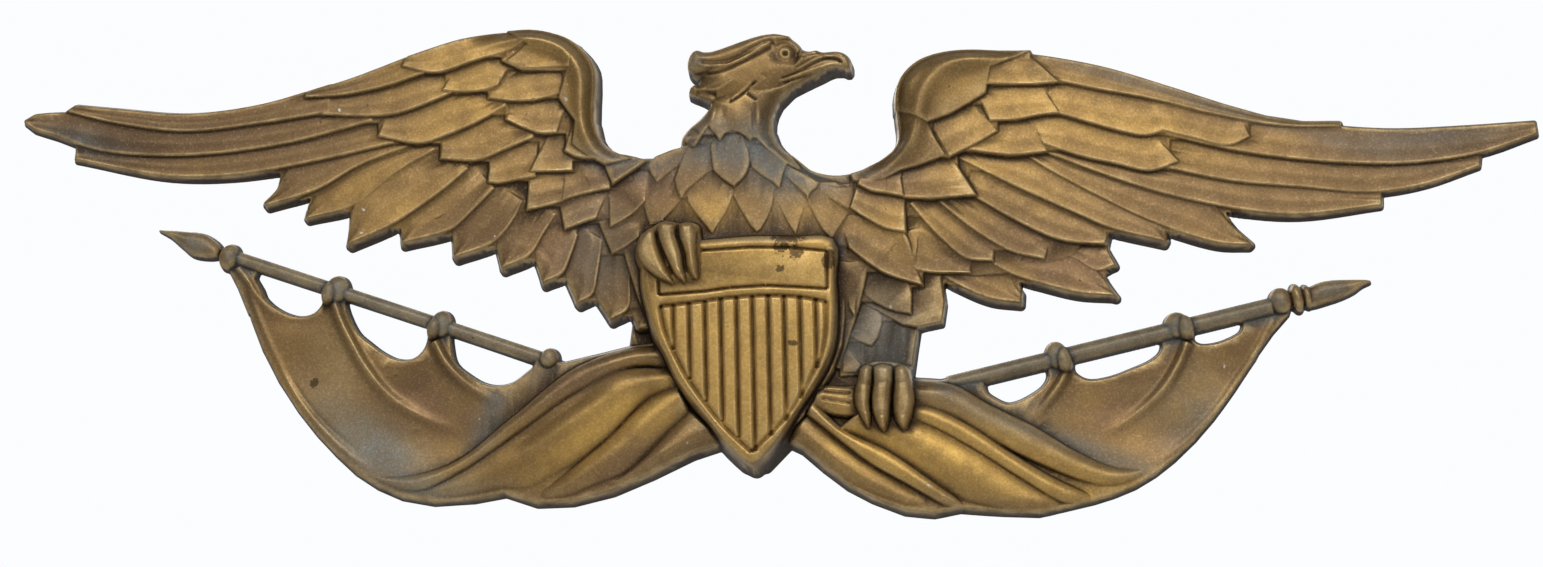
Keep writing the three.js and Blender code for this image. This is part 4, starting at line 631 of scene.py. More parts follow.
# the head: bosses [outline, edge height, bulge, reach], then lines [path, depth, width] and hollows
head = {
    "bosses": [
        # skull, jaw root and nape
        ([[-20.6, 43.9], [-23.7, 46.2], [-30, 49], [-31.5, 49.9], [-30.6, 52.7], [-28.2, 53.9],
          [-25.7, 55.8], [-29.5, 58.5], [-31.5, 61.1], [-32, 64.1], [-31.1, 68.1], [-28.9, 70.8],
          [-26.7, 71.2], [-24.5, 70.3], [-21.1, 70.2], [-17.2, 71.1], [-12.2, 72.8], [-5.2, 75.3],
          [1.9, 77.6], [6.9, 78.7], [12.1, 79.1], [17.5, 78.6], [20.8, 76.9], [24.2, 73.8], [26.3, 69.9],
          [30, 62.4], [30.3, 57.5], [26, 53.9], [21.4, 51.5], [17.1, 48.5], [9, 41.5], [-8, 40]], 14.5,
          10.8, 15),
        # crest band from the brow back to the nape
        ([[19.2, 77.6], [12.1, 79], [6.9, 78.6], [1.9, 77.5], [-5.2, 75.2], [-12.2, 72.7], [-17.2, 71],
          [-21.1, 70.1], [-24.5, 70.2], [-26.7, 71.1], [-28.9, 70.6], [-31, 67.9], [-31.9, 64.1],
          [-31.2, 61], [-28.2, 59.6], [-24.1, 59.1], [-19.9, 59.5], [-15.1, 60], [-11.1, 61.4],
          [-6.4, 63.8], [-2.2, 65.9], [1.7, 68], [6.6, 70.7], [11.4, 73.3], [16.4, 75.3], [19.1, 75.7]],
          20.5, 4.9, 5),
        # lower jaw and beak
        ([[-1.8, 47.8], [3, 53.6], [8, 54], [14, 54.2], [20.7, 56.5], [27.5, 58.6], [36.2, 61.3],
          [41, 62.4], [45.9, 61.5], [48.6, 60.2], [46.4, 61.1], [41.3, 61], [35, 58.1], [27.8, 54.7],
          [21.4, 51.5], [17.3, 48.6], [9.4, 44.6], [6.5, 43.7], [3.4, 43.6], [1, 46]], 16.5, 7.6, 7),
        # upper beak with its hook
        ([[14, 55.6], [18.8, 57.2], [24.2, 59.6], [28.3, 62.1], [32.4, 64.4], [36.5, 65.9], [40.5, 66.1],
          [44.1, 65.4], [46.2, 63.2], [46.9, 61], [47.3, 60.6], [48.9, 60.2], [49.8, 60.8], [50.1, 63],
          [49.3, 66.3], [47.2, 68.5], [43.6, 69.7], [35.1, 69.6], [33.1, 70.6], [31, 70], [27.6, 70.3],
          [25.6, 71.1], [22.4, 66.6], [18.1, 61.2]], 18.5, 6.6, 5.5),
        # inside of the beak
        ([[10, 52], [20, 54.6], [28, 57.1], [36, 59.9], [41.5, 61.6], [46, 61.3], [47.8, 62.3], [47, 65.8],
          [43, 67.6], [38, 68], [32, 66.4], [26, 63], [18, 59], [10, 56.4]], 22.2, 1.4, 2),
        # lower lobe of the nape
        ([[-31.4, 49.8], [-30.6, 52.5], [-28.2, 53.7], [-25.3, 51.6], [-19.3, 50.7], [-15.8, 51.3],
          [-12.4, 53.2], [-8.3, 56], [-9, 50], [-12, 46.6], [-17.1, 45.2], [-19.9, 44.5], [-23.8, 46.6],
          [-29.7, 48.8]], 18, 4.6, 3.4),
    ],
    "lines": [
        ([[-25.6, 62], [-19.9, 62.1], [-15.2, 62.2], [-11.1, 62.9], [-6.4, 64.9], [-2.3, 66.9], [1.7, 69.2],
          [6.5, 72], [11.3, 74.3]], -0.9, 0.8),
        ([[-27, 64.6], [-21.9, 64.4], [-16.6, 64.3], [-11.8, 65], [-7.8, 66.4], [-3.7, 68.5],
          [0.4, 71.2], [5.9, 74], [12.1, 75.9]], 1.1, 1.0),
        ([[-24.1, 58.9], [-19.9, 58.8], [-15.1, 59.4], [-11, 60.7], [-6.3, 62.9], [-2.2, 64.9], [1.8, 67],
          [6.6, 69.6], [11.4, 72.3]], 1.1, 0.7),
        ([[14, 55], [18.7, 56.7], [24.2, 59], [28.3, 61.4], [32.4, 63.6], [36.4, 65.2], [40.5, 65.4],
          [44, 64.6], [45.8, 62.6], [46.2, 61.5]], 1.1, 0.6),
        ([[11, 73.6], [17.9, 75.2], [22.2, 73.2], [24.2, 70], [24.4, 66.2]], -1.6, 1.0),
        ([[14.9, 54.3], [20.6, 56.3], [27.4, 58.4], [36.2, 61.2], [41, 62.2], [44.7, 61.8]], -0.6, 0.7),
        ([[36.1, 66.6], [40.5, 66.9], [44.6, 66.3], [47.1, 63.7], [47.5, 61.2]], -0.5, 0.8),
        ([[25.2, 66.7], [29.6, 68.8], [33.1, 69.9]], -0.8, 0.8),
        ([[25.8, 65.4], [31, 67.5], [36.1, 68.5]], 0.9, 0.8),
        ([[-11, 43.4], [-6.3, 46.2], [-2.2, 49.3], [0.5, 52], [3.2, 54.4]], 1.3, 0.6),
        ([[-10, 44.8], [-5.6, 47.6], [-1.4, 50.6], [1, 53]], -0.7, 0.8),
        ([[-1.8, 48.2], [0.5, 46.4], [3.2, 44.4]], 1.2, 0.6),
        ([[-30, 52.1], [-25.3, 50.9], [-19.3, 50.1], [-15.8, 50.7], [-12.4, 52.6], [-8.3, 55.4]], -0.8,
          0.7),
        ([[-27.6, 49.2], [-21.6, 48.1], [-17, 47.6]], 1.8, 1.4),
        ([[5.4, 57.6], [6.8, 56.8], [8, 55.8]], 0.3, 0.7),
    ],
    "hollows": [([16.2, 68], 5.8, 4.6, 3.2), ([17.4, 68.4], 3.1, 2.9, -3.6), ([17.4, 68.4], 1.5, 1.4, 2.8),
                ([26.2, 68.9], 2.5, 1.5, 0.5)],
}


def buildHead():
    # its bosses from the skull outwards, then its lines, the eye and the nostril
    for boss in head["bosses"]:
        layMound(*boss)
    for line in head["lines"]:
        carve(*line)
    for spot in head["hollows"]:
        dimple(*spot)


shield = {
    # the wall on the right leans out over a skirt
    "skirt": [[38, -27], [44, -28], [46.4, -34], [46.8, -50], [46.6, -66], [45, -79], [40, -92], [34, -102],
              [26, -114], [17, -125.6], [6, -137], [0, -120], [20, -60]],
    "skirtHeight": 18.0,
    "height": 30.0, "flare": 4.4, "bevel": 2.6, "bevelWidth": 4.2,
    "outline": [[-54, -27.5], [-23, -27], [0, -25.4], [21, -25.8], [41, -27.4], [42, -48], [42.4, -66],
                [41, -80], [36, -92.6], [30, -102], [22.5, -113], [15, -125.1], [2.9, -138.3], [0.7, -139],
                [-11.1, -129], [-20.3, -117.5], [-29, -107], [-36.3, -97], [-41.8, -85], [-46.8, -75.5],
                [-50.5, -64.3], [-54, -50]],
    "panel": [[-46, -32.8], [-22, -32.2], [0, -30.9], [20, -31.2], [38.4, -33.2], [38.5, -52.2],
              [25, -51.2], [8, -50.2], [-10, -51.2], [-22, -52.8], [-45, -54.4], [-46, -32.8]],
    "left": [[-44.5, -60], [-42, -72], [-37.5, -83], [-30, -97], [-22, -108.5], [-13.5, -119], [1, -133]],
    "right": [[38, -58.4], [37.6, -75], [35.5, -85], [32, -93], [27.5, -101.5], [20, -114], [1, -133]],
    "arch": [[-44.5, -60], [-30, -58.4], [-10, -56], [8, -55], [25, -56], [38, -58.4]],
    "firstStripe": -38.0, "stripePitch": 7.85, "stripeCount": 10, "lean": 0.022,
    "grooveDepth": 1.7, "grooveWidth": 1.0, "panelGroove": 0.7,
    "middle": 1.0,         # x of the tip
}


def crossing(line, x):
    # the z at which a line of points passes x
    order = np.argsort(line[:, 0])
    return float(np.interp(x, line[order, 0], line[order, 1]))


def buildShield():
    # a skirt, a bevelled plate over it, then grooves round the panels and between the stripes
    layPlate(shield["skirt"], shield["skirtHeight"], shield["flare"])
    layMound(shield["outline"], shield["height"] - shield["bevel"], shield["bevel"], shield["bevelWidth"],
             shield["flare"])
    depth, width = shield["grooveDepth"], shield["grooveWidth"]
    for name in ("left", "right", "arch"):
        carve(shield[name], depth, width, 0, 0)
    panel = shield["panel"]
    for start, end in zip(panel[:-1], panel[1:]):
        carve([start, end], depth, shield["panelGroove"], 0, 0)
    arch = curveThrough(shield["arch"], 60)
    for i in range(shield["stripeCount"]):
        x = shield["firstStripe"] + i * shield["stripePitch"]
        side = curveThrough(shield["left" if x < shield["middle"] else "right"], 60)
        upper, lower = crossing(arch, x), crossing(side, x)
        carve([[x, upper], [x + (upper - lower) * shield["lean"], lower]], depth, width, 0, 0)


# claws: the root of the right one, toes [outline, edge height, bulge, reach], lines between them
claws = {
    "root": ([[54, -91], [60, -88], [70, -88], [79, -90]], [[54, -110], [60, -114], [70, -114], [79, -110]],
             [20, 22, 22, 20], 2, 1.0),
    "flare": 1.0, "fade": 0.15,
    "toes": [
        # the left claw is a closed fist that holds the pole behind the shield
        ([[-50, -21], [-54.5, -24.2], [-57, -31], [-56.6, -36.5], [-54.5, -41], [-50, -45.3],
          [-43, -49.8], [-38, -50.6], [-30, -49.4], [-24.6, -48], [-22.9, -46], [-22.6, -38.8],
          [-22.9, -32], [-24.6, -24.6], [-25.4, -19.8], [-29.7, -17.9], [-34.2, -18.4], [-38, -17.6],
          [-41.4, -17.1], [-45.6, -18.2]], 26.5, 5.5, 6),
        ([[-50, -21.4], [-53.8, -25], [-56, -31], [-55.4, -36], [-52, -41], [-46.6, -45.6], [-41, -48.4],
          [-37.6, -49.4], [-38.6, -45.8], [-41, -40.8], [-43.4, -35.4], [-45.6, -28.6], [-46.6, -23]],
         30.4, 4.6, 4),
        ([[-41.4, -17.6], [-45, -19], [-46, -23], [-45, -28], [-43, -33.4], [-40.6, -38.6], [-38.4, -43.4],
          [-35.4, -46.8], [-31.4, -49], [-31.6, -45], [-32.6, -41], [-33.2, -35.4], [-34.8, -29.8],
          [-36.3, -24.8], [-36.4, -19.4]], 30.8, 5.0, 4),
        ([[-31.4, -18.4], [-35, -19.6], [-35.3, -24.8], [-33.6, -29.8], [-32, -35.4], [-31.2, -41],
          [-28.6, -46], [-25.6, -47.4], [-25.2, -43], [-25.5, -38.7], [-26.2, -32.5], [-26.4, -24.6],
          [-27.4, -19.4]], 30.4, 4.8, 4),
        # the right claw closes over the other pole
        ([[58, -89.8], [55.6, -90.8], [53.2, -97.7], [51.9, -107], [53.8, -113.4], [58.7, -121],
          [59.6, -116], [59.2, -110], [60, -103], [60.5, -96], [60.2, -91]], 23.5, 5, 4),
        ([[65.5, -89.6], [61.6, -91], [61.3, -98], [60.2, -107], [61, -114], [63, -119], [66.2, -122.5],
          [68.3, -118], [69.2, -110], [69.8, -103], [70.4, -97], [69.9, -91]], 25, 5.4, 4),
        ([[74.5, -90], [71.8, -92], [71.3, -99.7], [70.7, -108], [71.2, -115], [73.4, -119.6],
          [76.2, -121.9], [79, -116.6], [80.8, -107.7], [79.8, -99], [77.6, -91.4]], 24, 5.4, 4),
    ],
    "lines": [
        ([[-46.6, -21], [-45.8, -26], [-44.1, -31], [-42.2, -35.5], [-40.3, -39.4], [-38, -43.6],
          [-36.4, -46.8]], 1.6, 0.8),
        ([[-35.9, -19], [-35.9, -24.8], [-34.3, -29.8], [-32.6, -35.4], [-32, -41], [-30.8, -46]], 1.6,
          0.8),
        ([[-41.4, -36.6], [-39.9, -41]], -1.0, 0.5),
        ([[-44, -43.4], [-41, -46], [-38.6, -48.4]], -0.6, 0.8),
        ([[-34.6, -42], [-33.6, -45.4]], -0.6, 0.8),
        ([[53.6, -113], [56, -113.6], [58.8, -112.6]], 0.5, 0.7),
        ([[61.4, -114.6], [64.8, -115.6], [68.4, -114.4]], 0.5, 0.7),
        ([[71.6, -114.4], [75.4, -115.4], [79, -114.2]], 0.5, 0.7),
        ([[53.4, -99], [56.6, -100], [60, -99]], 0.6, 1.2),
        ([[61.6, -98], [65.8, -99.4], [70, -98]], 0.7, 1.3),
        ([[71.6, -98], [75.6, -99.4], [79.4, -98]], 0.7, 1.3),
    ],
}


def buildClaws():
    # a boss for each toe, then its joints and the gaps between toes
    layBar(*claws["root"])
    for toe in claws["toes"]:
        layMound(*toe, claws["flare"])
    for line in claws["lines"]:
        carve(*line, claws["fade"], claws["fade"])


flags = {
    "cloth": {
        "left": [[-261.4, -33.1], [-258.2, -45.8], [-254.7, -60.5], [-248.4, -76.5], [-239.9, -92.8],
                 [-229.7, -107.7], [-219.5, -120.2], [-209.6, -130.3], [-199.5, -139.3], [-188.3, -146.5],
                 [-176.1, -151.8], [-160, -154.7], [-140, -153.4], [-124, -150.3], [-108, -155.3],
                 [-90.1, -154.7], [-70.1, -149.8], [-50.4, -141.6], [-30.2, -131.9], [-15.7, -127.2],
                 [-15, -100], [-46, -76], [-59.3, -77.8], [-78.1, -82.3], [-95.1, -85.9], [-104, -83.3],
                 [-160, -63.3], [-214, -46.6]],
        "right": [[262.6, -62.2], [255.8, -70.4], [252.1, -80], [249, -86.3], [245, -92.3], [239.2, -101],
                  [234, -108], [228, -116], [219, -126.3], [208.5, -135.8], [199, -143], [189, -148.9],
                  [179, -153], [169, -156.1], [154.9, -159.3], [142, -162], [125, -161.1], [103, -159.3],
                  [90, -161.9], [76, -160.4], [60.2, -154.3], [48.2, -147.9], [36.6, -139.1],
                  [25.8, -129.8], [19.3, -126.7], [20, -105], [44, -90], [80.5, -95.7], [93.9, -96.6],
                  [103.5, -94.6], [149.5, -85.1], [212, -70.9]],
    },
    "gaps": {
        "left": [
            [[-252, -35.5], [-253.5, -41], [-249.8, -48.4], [-243.9, -54.6], [-236.2, -58.8], [-229, -60.2],
             [-222.5, -58.3], [-218.2, -52.9], [-218.5, -46]],
            [[-207.3, -50.5], [-206, -57], [-200.2, -68.7], [-194.2, -74], [-186.9, -79.4], [-179.1, -82.8],
             [-171.8, -82.4], [-165.9, -77], [-163.8, -69.3], [-164.7, -64.5]],
            [[-153.2, -69.3], [-152.6, -75.6], [-150.3, -84.7], [-143.2, -91], [-135.4, -95.5],
             [-128, -96.8], [-120.8, -95.3], [-113.5, -90.2], [-110.1, -87.3], [-108.9, -84.2]],
        ],
        "right": [
            [[114.6, -93.2], [115.9, -101.8], [120.5, -105.4], [126.9, -108], [132.2, -107],
             [139.7, -103.1], [144.9, -99.1], [147.6, -94.1], [146.4, -85.9]],
            [[159.7, -83], [159.6, -91.2], [163, -94.5], [168, -96.1], [178.1, -94.6], [188.5, -90.9],
             [198.8, -86.2], [203.5, -81.5], [203.9, -73.5]],
            [[220, -68.9], [219, -76.2], [222.3, -78.7], [228.1, -78.7], [235.4, -76.7], [242.7, -72.7],
             [244.1, -69.5], [243.9, -62.9]],
        ],
    },
    "height": 6.0,
    # it stands out more towards the body, from the x where each side begins, and at its lower edge
    "rise": 6.0, "riseFrom": {"left": (1, 160.0), "right": (-1, 170.0)}, "riseWidth": 110.0,
    "hemRise": 2.0, "hemFrom": 120.0, "hemWidth": 30.0,
}

# rolls and folds of the gathered cloth: two side curves, heights along them, fall at the sides
rolls = {
    "left": [
        ([[-44, -78], [-64, -79], [-88, -88.4], [-121, -114], [-150, -135.5], [-176, -141.6], [-198, -139]],
         [[-40, -90], [-56, -88], [-88, -101.5], [-113, -118], [-150, -142], [-176, -151], [-199, -141]],
         [18, 17.5, 16, 13, 11, 8.6], 2.6),
        ([[-42, -90], [-66, -90.5], [-88, -101.5], [-113, -118], [-140, -135], [-166, -147], [-186, -152]],
         [[-36, -100], [-51, -104.5], [-72, -124], [-95, -142], [-110, -152], [-124, -158], [-140, -161]],
         [21, 20, 18, 14.5, 11.5, 9], 4.4),
        ([[-38, -97], [-52, -105], [-72, -124.5], [-95, -142.5], [-110, -152], [-124, -158]],
         [[-31, -112], [-41.5, -121.5], [-60.6, -139.8], [-78.1, -149.1], [-92, -158], [-106, -163]],
         [20, 19.5, 18, 15, 12], 4.2),
        ([[-31, -111], [-41.5, -121], [-60.5, -139.4], [-76.1, -148.6], [-92, -158]],
         [[-12, -129], [-30.2, -136], [-52.3, -147], [-70, -155], [-86, -160]], [19, 19, 17, 13], 4.0),
    ],
    "right": [
        ([[79.5, -95.9], [98.2, -98.4], [117.8, -109.4], [139.5, -120], [160, -132], [180, -139.6],
          [202, -137.5], [219, -128]],
         [[78, -109], [100, -115], [120, -127], [145, -139], [165, -147], [183, -150], [202, -146],
          [221, -130]], [19, 18, 16, 13.5, 11, 9, 8], 3.0),
        ([[79, -108.5], [91, -111], [110.5, -121], [128, -133], [148, -145], [171, -155], [188, -160]],
         [[78, -115.8], [90.5, -120.4], [111, -131.4], [131.5, -144.4], [150, -155.5], [172, -163],
          [188, -164]], [19.5, 18, 15.5, 12.5, 9], 2.0),
        ([[62, -108], [90.5, -119.6], [111, -130.6], [131.5, -143.6], [150, -155], [170, -166]],
         [[44, -120.5], [68.5, -133.4], [90, -148.4], [109.1, -160.5], [126, -168], [140, -170]],
         [22, 20.5, 18, 15, 12], 4.6),
        ([[31, -107], [43.5, -120], [68.5, -132.6], [90, -147.6], [106.1, -159], [118, -168]],
         [[28, -113.5], [39.5, -122.6], [59.5, -138], [79, -149], [97.9, -160.5], [108, -168]],
         [21, 20.5, 18.5, 15], 2.0),
        ([[29, -113], [48, -128.6], [74, -145.6], [90, -155.6], [104, -166]],
         [[16, -128], [34, -143], [56, -158], [78, -168], [96, -170]], [19.5, 18.5, 16, 13], 4.2),
        ([[34, -99], [48, -100], [60, -98], [83.8, -96.1]],
         [[30, -111], [46, -114], [62, -114], [82, -110]], [20, 20, 19.5, 18], 2.6),
    ],
}

poles = {
    "axis": 7.0,           # height of a pole's axis
    "side": 0.4, "flare": 0.8,     # its sides stand this much over the axis before they drop
    "knobFall": 5.0, "knobFlare": 0.9,     # a ball or ring falls this much to its rim
    "finial": (6.5, 4.5, 5, 0.9),  # edge height, bulge, reach and flare
    # the two ends of each pole and its half width
    "lines": [([[-262, -29.8], [-106, -82.6]], 3.0), ([[98, -97.6], [258, -59.9]], 4.0)],
    # balls and rings: middle, half length along the pole, half width, height, which pole
    "knobs": [([-266.4, -29.4], 4.8, 6.4, 13, 0), ([-210.8, -46.6], 5.8, 6.8, 12.4, 0),
              ([-214.4, -48.6], 3.6, 5.6, 14.6, 0), ([-157.4, -64.8], 5.4, 6.6, 12.4, 0),
              ([-160.6, -67], 3.4, 5.4, 14.6, 0), ([-102.2, -82.9], 4.4, 5, 14, 0),
              ([262.6, -57.4], 5.6, 6.2, 13, 1), ([270.6, -56], 3.2, 6.4, 13.2, 1),
              ([275.6, -55.2], 2.6, 5.2, 12.4, 1), ([211, -69], 6.2, 6.2, 12.4, 1),
              ([215.4, -70.4], 4, 5.8, 14.8, 1), ([151.4, -83.6], 5.4, 6.6, 12.4, 1),
              ([155.2, -86.4], 3.6, 6, 15.2, 1)],
    "finials": [
        [[-303.2, -15], [-296, -15.4], [-289.9, -16], [-279.4, -17.5], [-271.2, -24], [-271.4, -28.6],
         [-284.6, -28.6], [-291.3, -23.6], [-297.1, -18.6]],
        [[275.6, -51.4], [283.3, -48.2], [295.6, -47.2], [307.4, -48], [303, -50.4], [298.5, -53.6],
         [287.7, -58], [275, -60.2]],
    ],
    "ties": [
        [[246, -64], [268, -58], [266, -64], [258, -73], [250, -84], [242, -78]],
        [[-270, -29], [-258, -33], [-250, -46], [-246, -56], [-256, -58], [-262, -44]],
        [[-60, -66], [-48, -60], [-44, -84], [-62, -82]],
    ],
    "tieHeight": 6.0, "tieFlare": 1.4,
}


def layKnob(centre, along, across, height, line):
    # an oval boss turned to the pole's direction: height - fall (1 - sqrt(1 - reach^2))
    start, end = np.asarray(line, float)
    axis = (end - start) / np.linalg.norm(end - start)
    rows, cols = windowOf([centre], max(along, across) + 3)
    px, pz = gridX[rows, cols] - centre[0], gridZ[rows, cols] - centre[1]
    reach = np.hypot((px * axis[0] + pz * axis[1]) / along, (pz * axis[0] - px * axis[1]) / across)
    boss = height - poles["knobFall"] * (1 - np.sqrt(np.clip(1 - reach**2, 0, 1)))
    layOver(rows, cols, boss, (1 - reach) * min(along, across), poles["knobFlare"])


# ridges and hems of the hanging cloth: [path, depth, width, fade at its ends], depth below zero is raised
clothLines = [
    ([[-212, -53.2], [-208.6, -62.5], [-202, -75.3], [-195.4, -86.5], [-182.5, -101.6], [-161, -114],
      [-140, -120]], -3.0, 2.4, 0.0, 0.8),
    ([[-160.7, -73.3], [-155, -83.7], [-146.2, -93.3], [-135, -101.3], [-124, -107]], -3.0, 2.4, 0.0, 0.75),
    ([[-262, -34.5], [-256.2, -42], [-251, -50], [-243, -58.6], [-236, -62]], -1.4, 1.6, 0.0, 0.7),
    ([[156.9, -90.3], [152.9, -98], [146.7, -106.6], [140.4, -114.3], [133, -120]], -3.0, 2.4, 0.0, 0.75),
    ([[216.2, -77.5], [211.7, -88.4], [203.8, -100.8], [194.4, -110.1], [182, -119], [169, -125]],
     -3.0, 2.4, 0.0, 0.75),
    ([[260, -64], [251, -81], [241, -96], [231, -110], [216, -125.6], [197, -140]], -1.2, 2.0, 0.05, 0.3),
    ([[-257, -43], [-249.6, -61], [-241, -80], [-231, -99], [-218, -116], [-203, -130], [-186, -142]],
     -0.9, 1.6, 0.05, 0.3),
    ([[-253.4, -50], [-245, -70], [-236, -89], [-224, -106], [-209, -121], [-192, -134]], 0.6, 1.4, 0.1,
      0.3),
    ([[252, -84], [243, -99], [232, -114], [216, -130], [199, -142]], 0.5, 1.4, 0.1, 0.3),
]
# folds of the gathered cloth, in the same way
clothFolds = [
    ([[-66, -95], [-88, -107], [-112, -123], [-130, -132]], 1.6, 4.0, 0.3, 0.3),
    ([[35.5, -101.5], [50, -103]], 1.0, 0.8, 0.1, 0.1),
    ([[34.5, -105.5], [50, -108.5]], 1.0, 0.8, 0.1, 0.1),
]
# soft hollows of the hanging cloth: middle, half width, half height, depth
clothHollows = [([-234, -86], 16, 20, 1.6), ([-192, -116], 18, 13, 1.2), ([-172, -98], 12, 10, 1.0),
                ([236, -92], 12, 14, 1.4), ([182, -108], 18, 10, 1.2), ([206, -122], 16, 10, 1.0),
                ([-232, -62], 12, 6, 0.8), ([182, -97], 16, 5, 0.6)]


def clothForm(side):
    # height + rise s(towards the body) + hem rise s(towards the lower edge), s the smooth step
    sign, start = flags["riseFrom"][side]

    def height(x, z):
        inwards = smoothStep((sign * x + start) / flags["riseWidth"])
        downwards = smoothStep((-z - flags["hemFrom"]) / flags["hemWidth"])
        return flags["height"] + flags["rise"] * inwards + flags["hemRise"] * downwards

    return height


def buildFlags():
    # the hanging cloth with its ridges and hollows, then the rolls of the gathered cloth over it
    for side, outline in flags["cloth"].items():
        layPlate(outline, clothForm(side), gaps=flags["gaps"][side])
    for tie in poles["ties"]:
        layPlate(tie, poles["tieHeight"], poles["tieFlare"])
    for spot in clothHollows:
        dimple(*spot)
    for line in clothLines:
        carve(*line)
    for side, group in rolls.items():
        for roll in group:
            layBar(*roll, within=flags["cloth"][side])
    for line in clothFolds:
        carve(*line)


def buildPoles():
    # a round bar for each pole, then its balls, rings and finials
    for line, radius in poles["lines"]:
        crown = poles["axis"] + radius
        sides = [widen(line, [radius] * 2, side) for side in (1, -1)]
        layBar(*sides, [crown, crown], radius - poles["side"], poles["flare"])
    for *knob, which in poles["knobs"]:
        layKnob(*knob, poles["lines"][which][0])
    for finial in poles["finials"]:
        layMound(finial, *poles["finial"])


# the back: its hollows and the pockets that hang on pegs, depths in millimetres
behind = {
    "hollows": [
        (19, [[-38, -34], [28, -34], [30, -60], [24, -86], [2, -112], [-22, -92], [-38, -62]]),
        (14, [[-50, 6], [-26, 14], [-24, -24], [-50, -24]]),
        (14, [[24, -2], [42, -6], [40, -24], [24, -24]]),
        (15, [[-14, 62], [16, 64], [6, 52], [6, 28], [-12, 28], [-12, 46]]),
        (11, [[-92, 62], [-86, 36], [-84, 6], [-100, -2], [-126, 10], [-126, 32], [-112, 34], [-96, 40]]),
        (11, [[86, 52], [98, 56], [99, 37], [112, 33], [134, 24], [130, 4], [100, -4], [84, 8]]),
        (7.5, [[-132, 60], [-160, 58], [-196, 44], [-196, 34], [-168, 8], [-134, 4], [-134, 38]]),
        (7.5, [[140, 58], [166, 56], [204, 42], [226, 30], [222, 12], [186, -4], [144, 2]]),
        (9, [[-46, -98], [-60, -96], [-92, -112], [-108, -130], [-92, -142], [-62, -132], [-44, -116]]),
        (9, [[52, -120], [70, -122], [104, -132], [122, -146], [100, -152], [72, -146], [52, -134]]),
    ],
    "pegs": [[-105, 48], [108, 47]],
    "pegWidth": 8.0, "pegHeight": 14.0, "pegDepth": 9.0,
    "pegRim": 0.4, "pegDraft": 0.8,    # the flat edge round a pocket, and how its wall leans
    "draft": 1.6,          # the hollows' walls lean by this much
}


def buildBack():
    # hollows: depth s(inside / draft), never deeper than the thinnest metal allows; then the pockets,
    # each the distance to a short upright line
    for depth, outline in behind["hollows"]:
        loop = np.asarray(outline, float)
        rows, cols = windowOf(loop, 1)
        signed = edgeDistance(gridX[rows, cols], gridZ[rows, cols], loop)
        hollow[rows, cols] = np.maximum(hollow[rows, cols], depth * smoothStep(signed / behind["draft"]))
    np.minimum(hollow, np.maximum(face - relief["thinnest"], 0), out=hollow)
    straight = (behind["pegHeight"] - behind["pegWidth"]) / 2
    for x, z in behind["pegs"]:
        rows, cols = windowOf([[x, z]], behind["pegHeight"])
        stem = np.clip(gridZ[rows, cols] - z, -straight, straight)
        signed = behind["pegWidth"] / 2 - np.hypot(gridX[rows, cols] - x, gridZ[rows, cols] - z - stem)
        pocket = behind["pegDepth"] * smoothStep(signed / behind["pegDraft"] + 0.5)
        around = np.where(signed > -behind["pegRim"], 0, hollow[rows, cols])
        hollow[rows, cols] = np.maximum(around, pocket)


def stretchHighest(values, cells):
    # each place takes the highest value within a square of that half width
    for axis in (0, 1):
        values = np.maximum.reduce([np.roll(values, shift, axis) for shift in range(-cells, cells + 1)])
    return values


def fillPits():
    # narrow holes between feathers are cast nearly shut: the relief closed over them, less a small depth
    cells = max(1, round(relief["pitWidth"] / 2 / relief["step"]))
    closed = -stretchHighest(-stretchHighest(face, cells), cells)
    filled = np.maximum(face, closed - relief["pitDepth"])
    face[:] = np.where(face > relief["least"], filled, face)


def soften(values, spread):
    # Gaussian blur of a grid: exp(-(distance / spread)^2 / 2) along rows, then columns
    reach = max(1, int(math.ceil(3 * spread / relief["step"])))
    offsets = np.arange(-reach, reach + 1)
    weights = np.exp(-(offsets * relief["step"] / spread)**2 / 2)
    weights /= weights.sum()
    for axis in (0, 1):
        padding = [(reach, reach) if a == axis else (0, 0) for a in (0, 1)]
        padded = np.pad(values, padding, mode="edge")
        size = values.shape[axis]
        values = sum(weight * np.take(padded, np.arange(k, k + size), axis=axis)
                     for k, weight in enumerate(weights))
    return values


buildWings()
buildShoulders()
buildThigh()
buildBody()
fillPits()
buildHead()
buildFlags()
buildPoles()
buildShield()
buildClaws()
print("relief laid out:", face.shape)
face = soften(np.maximum(face, relief["outside"]), relief["softening"])
buildBack()
print("hollow back done")


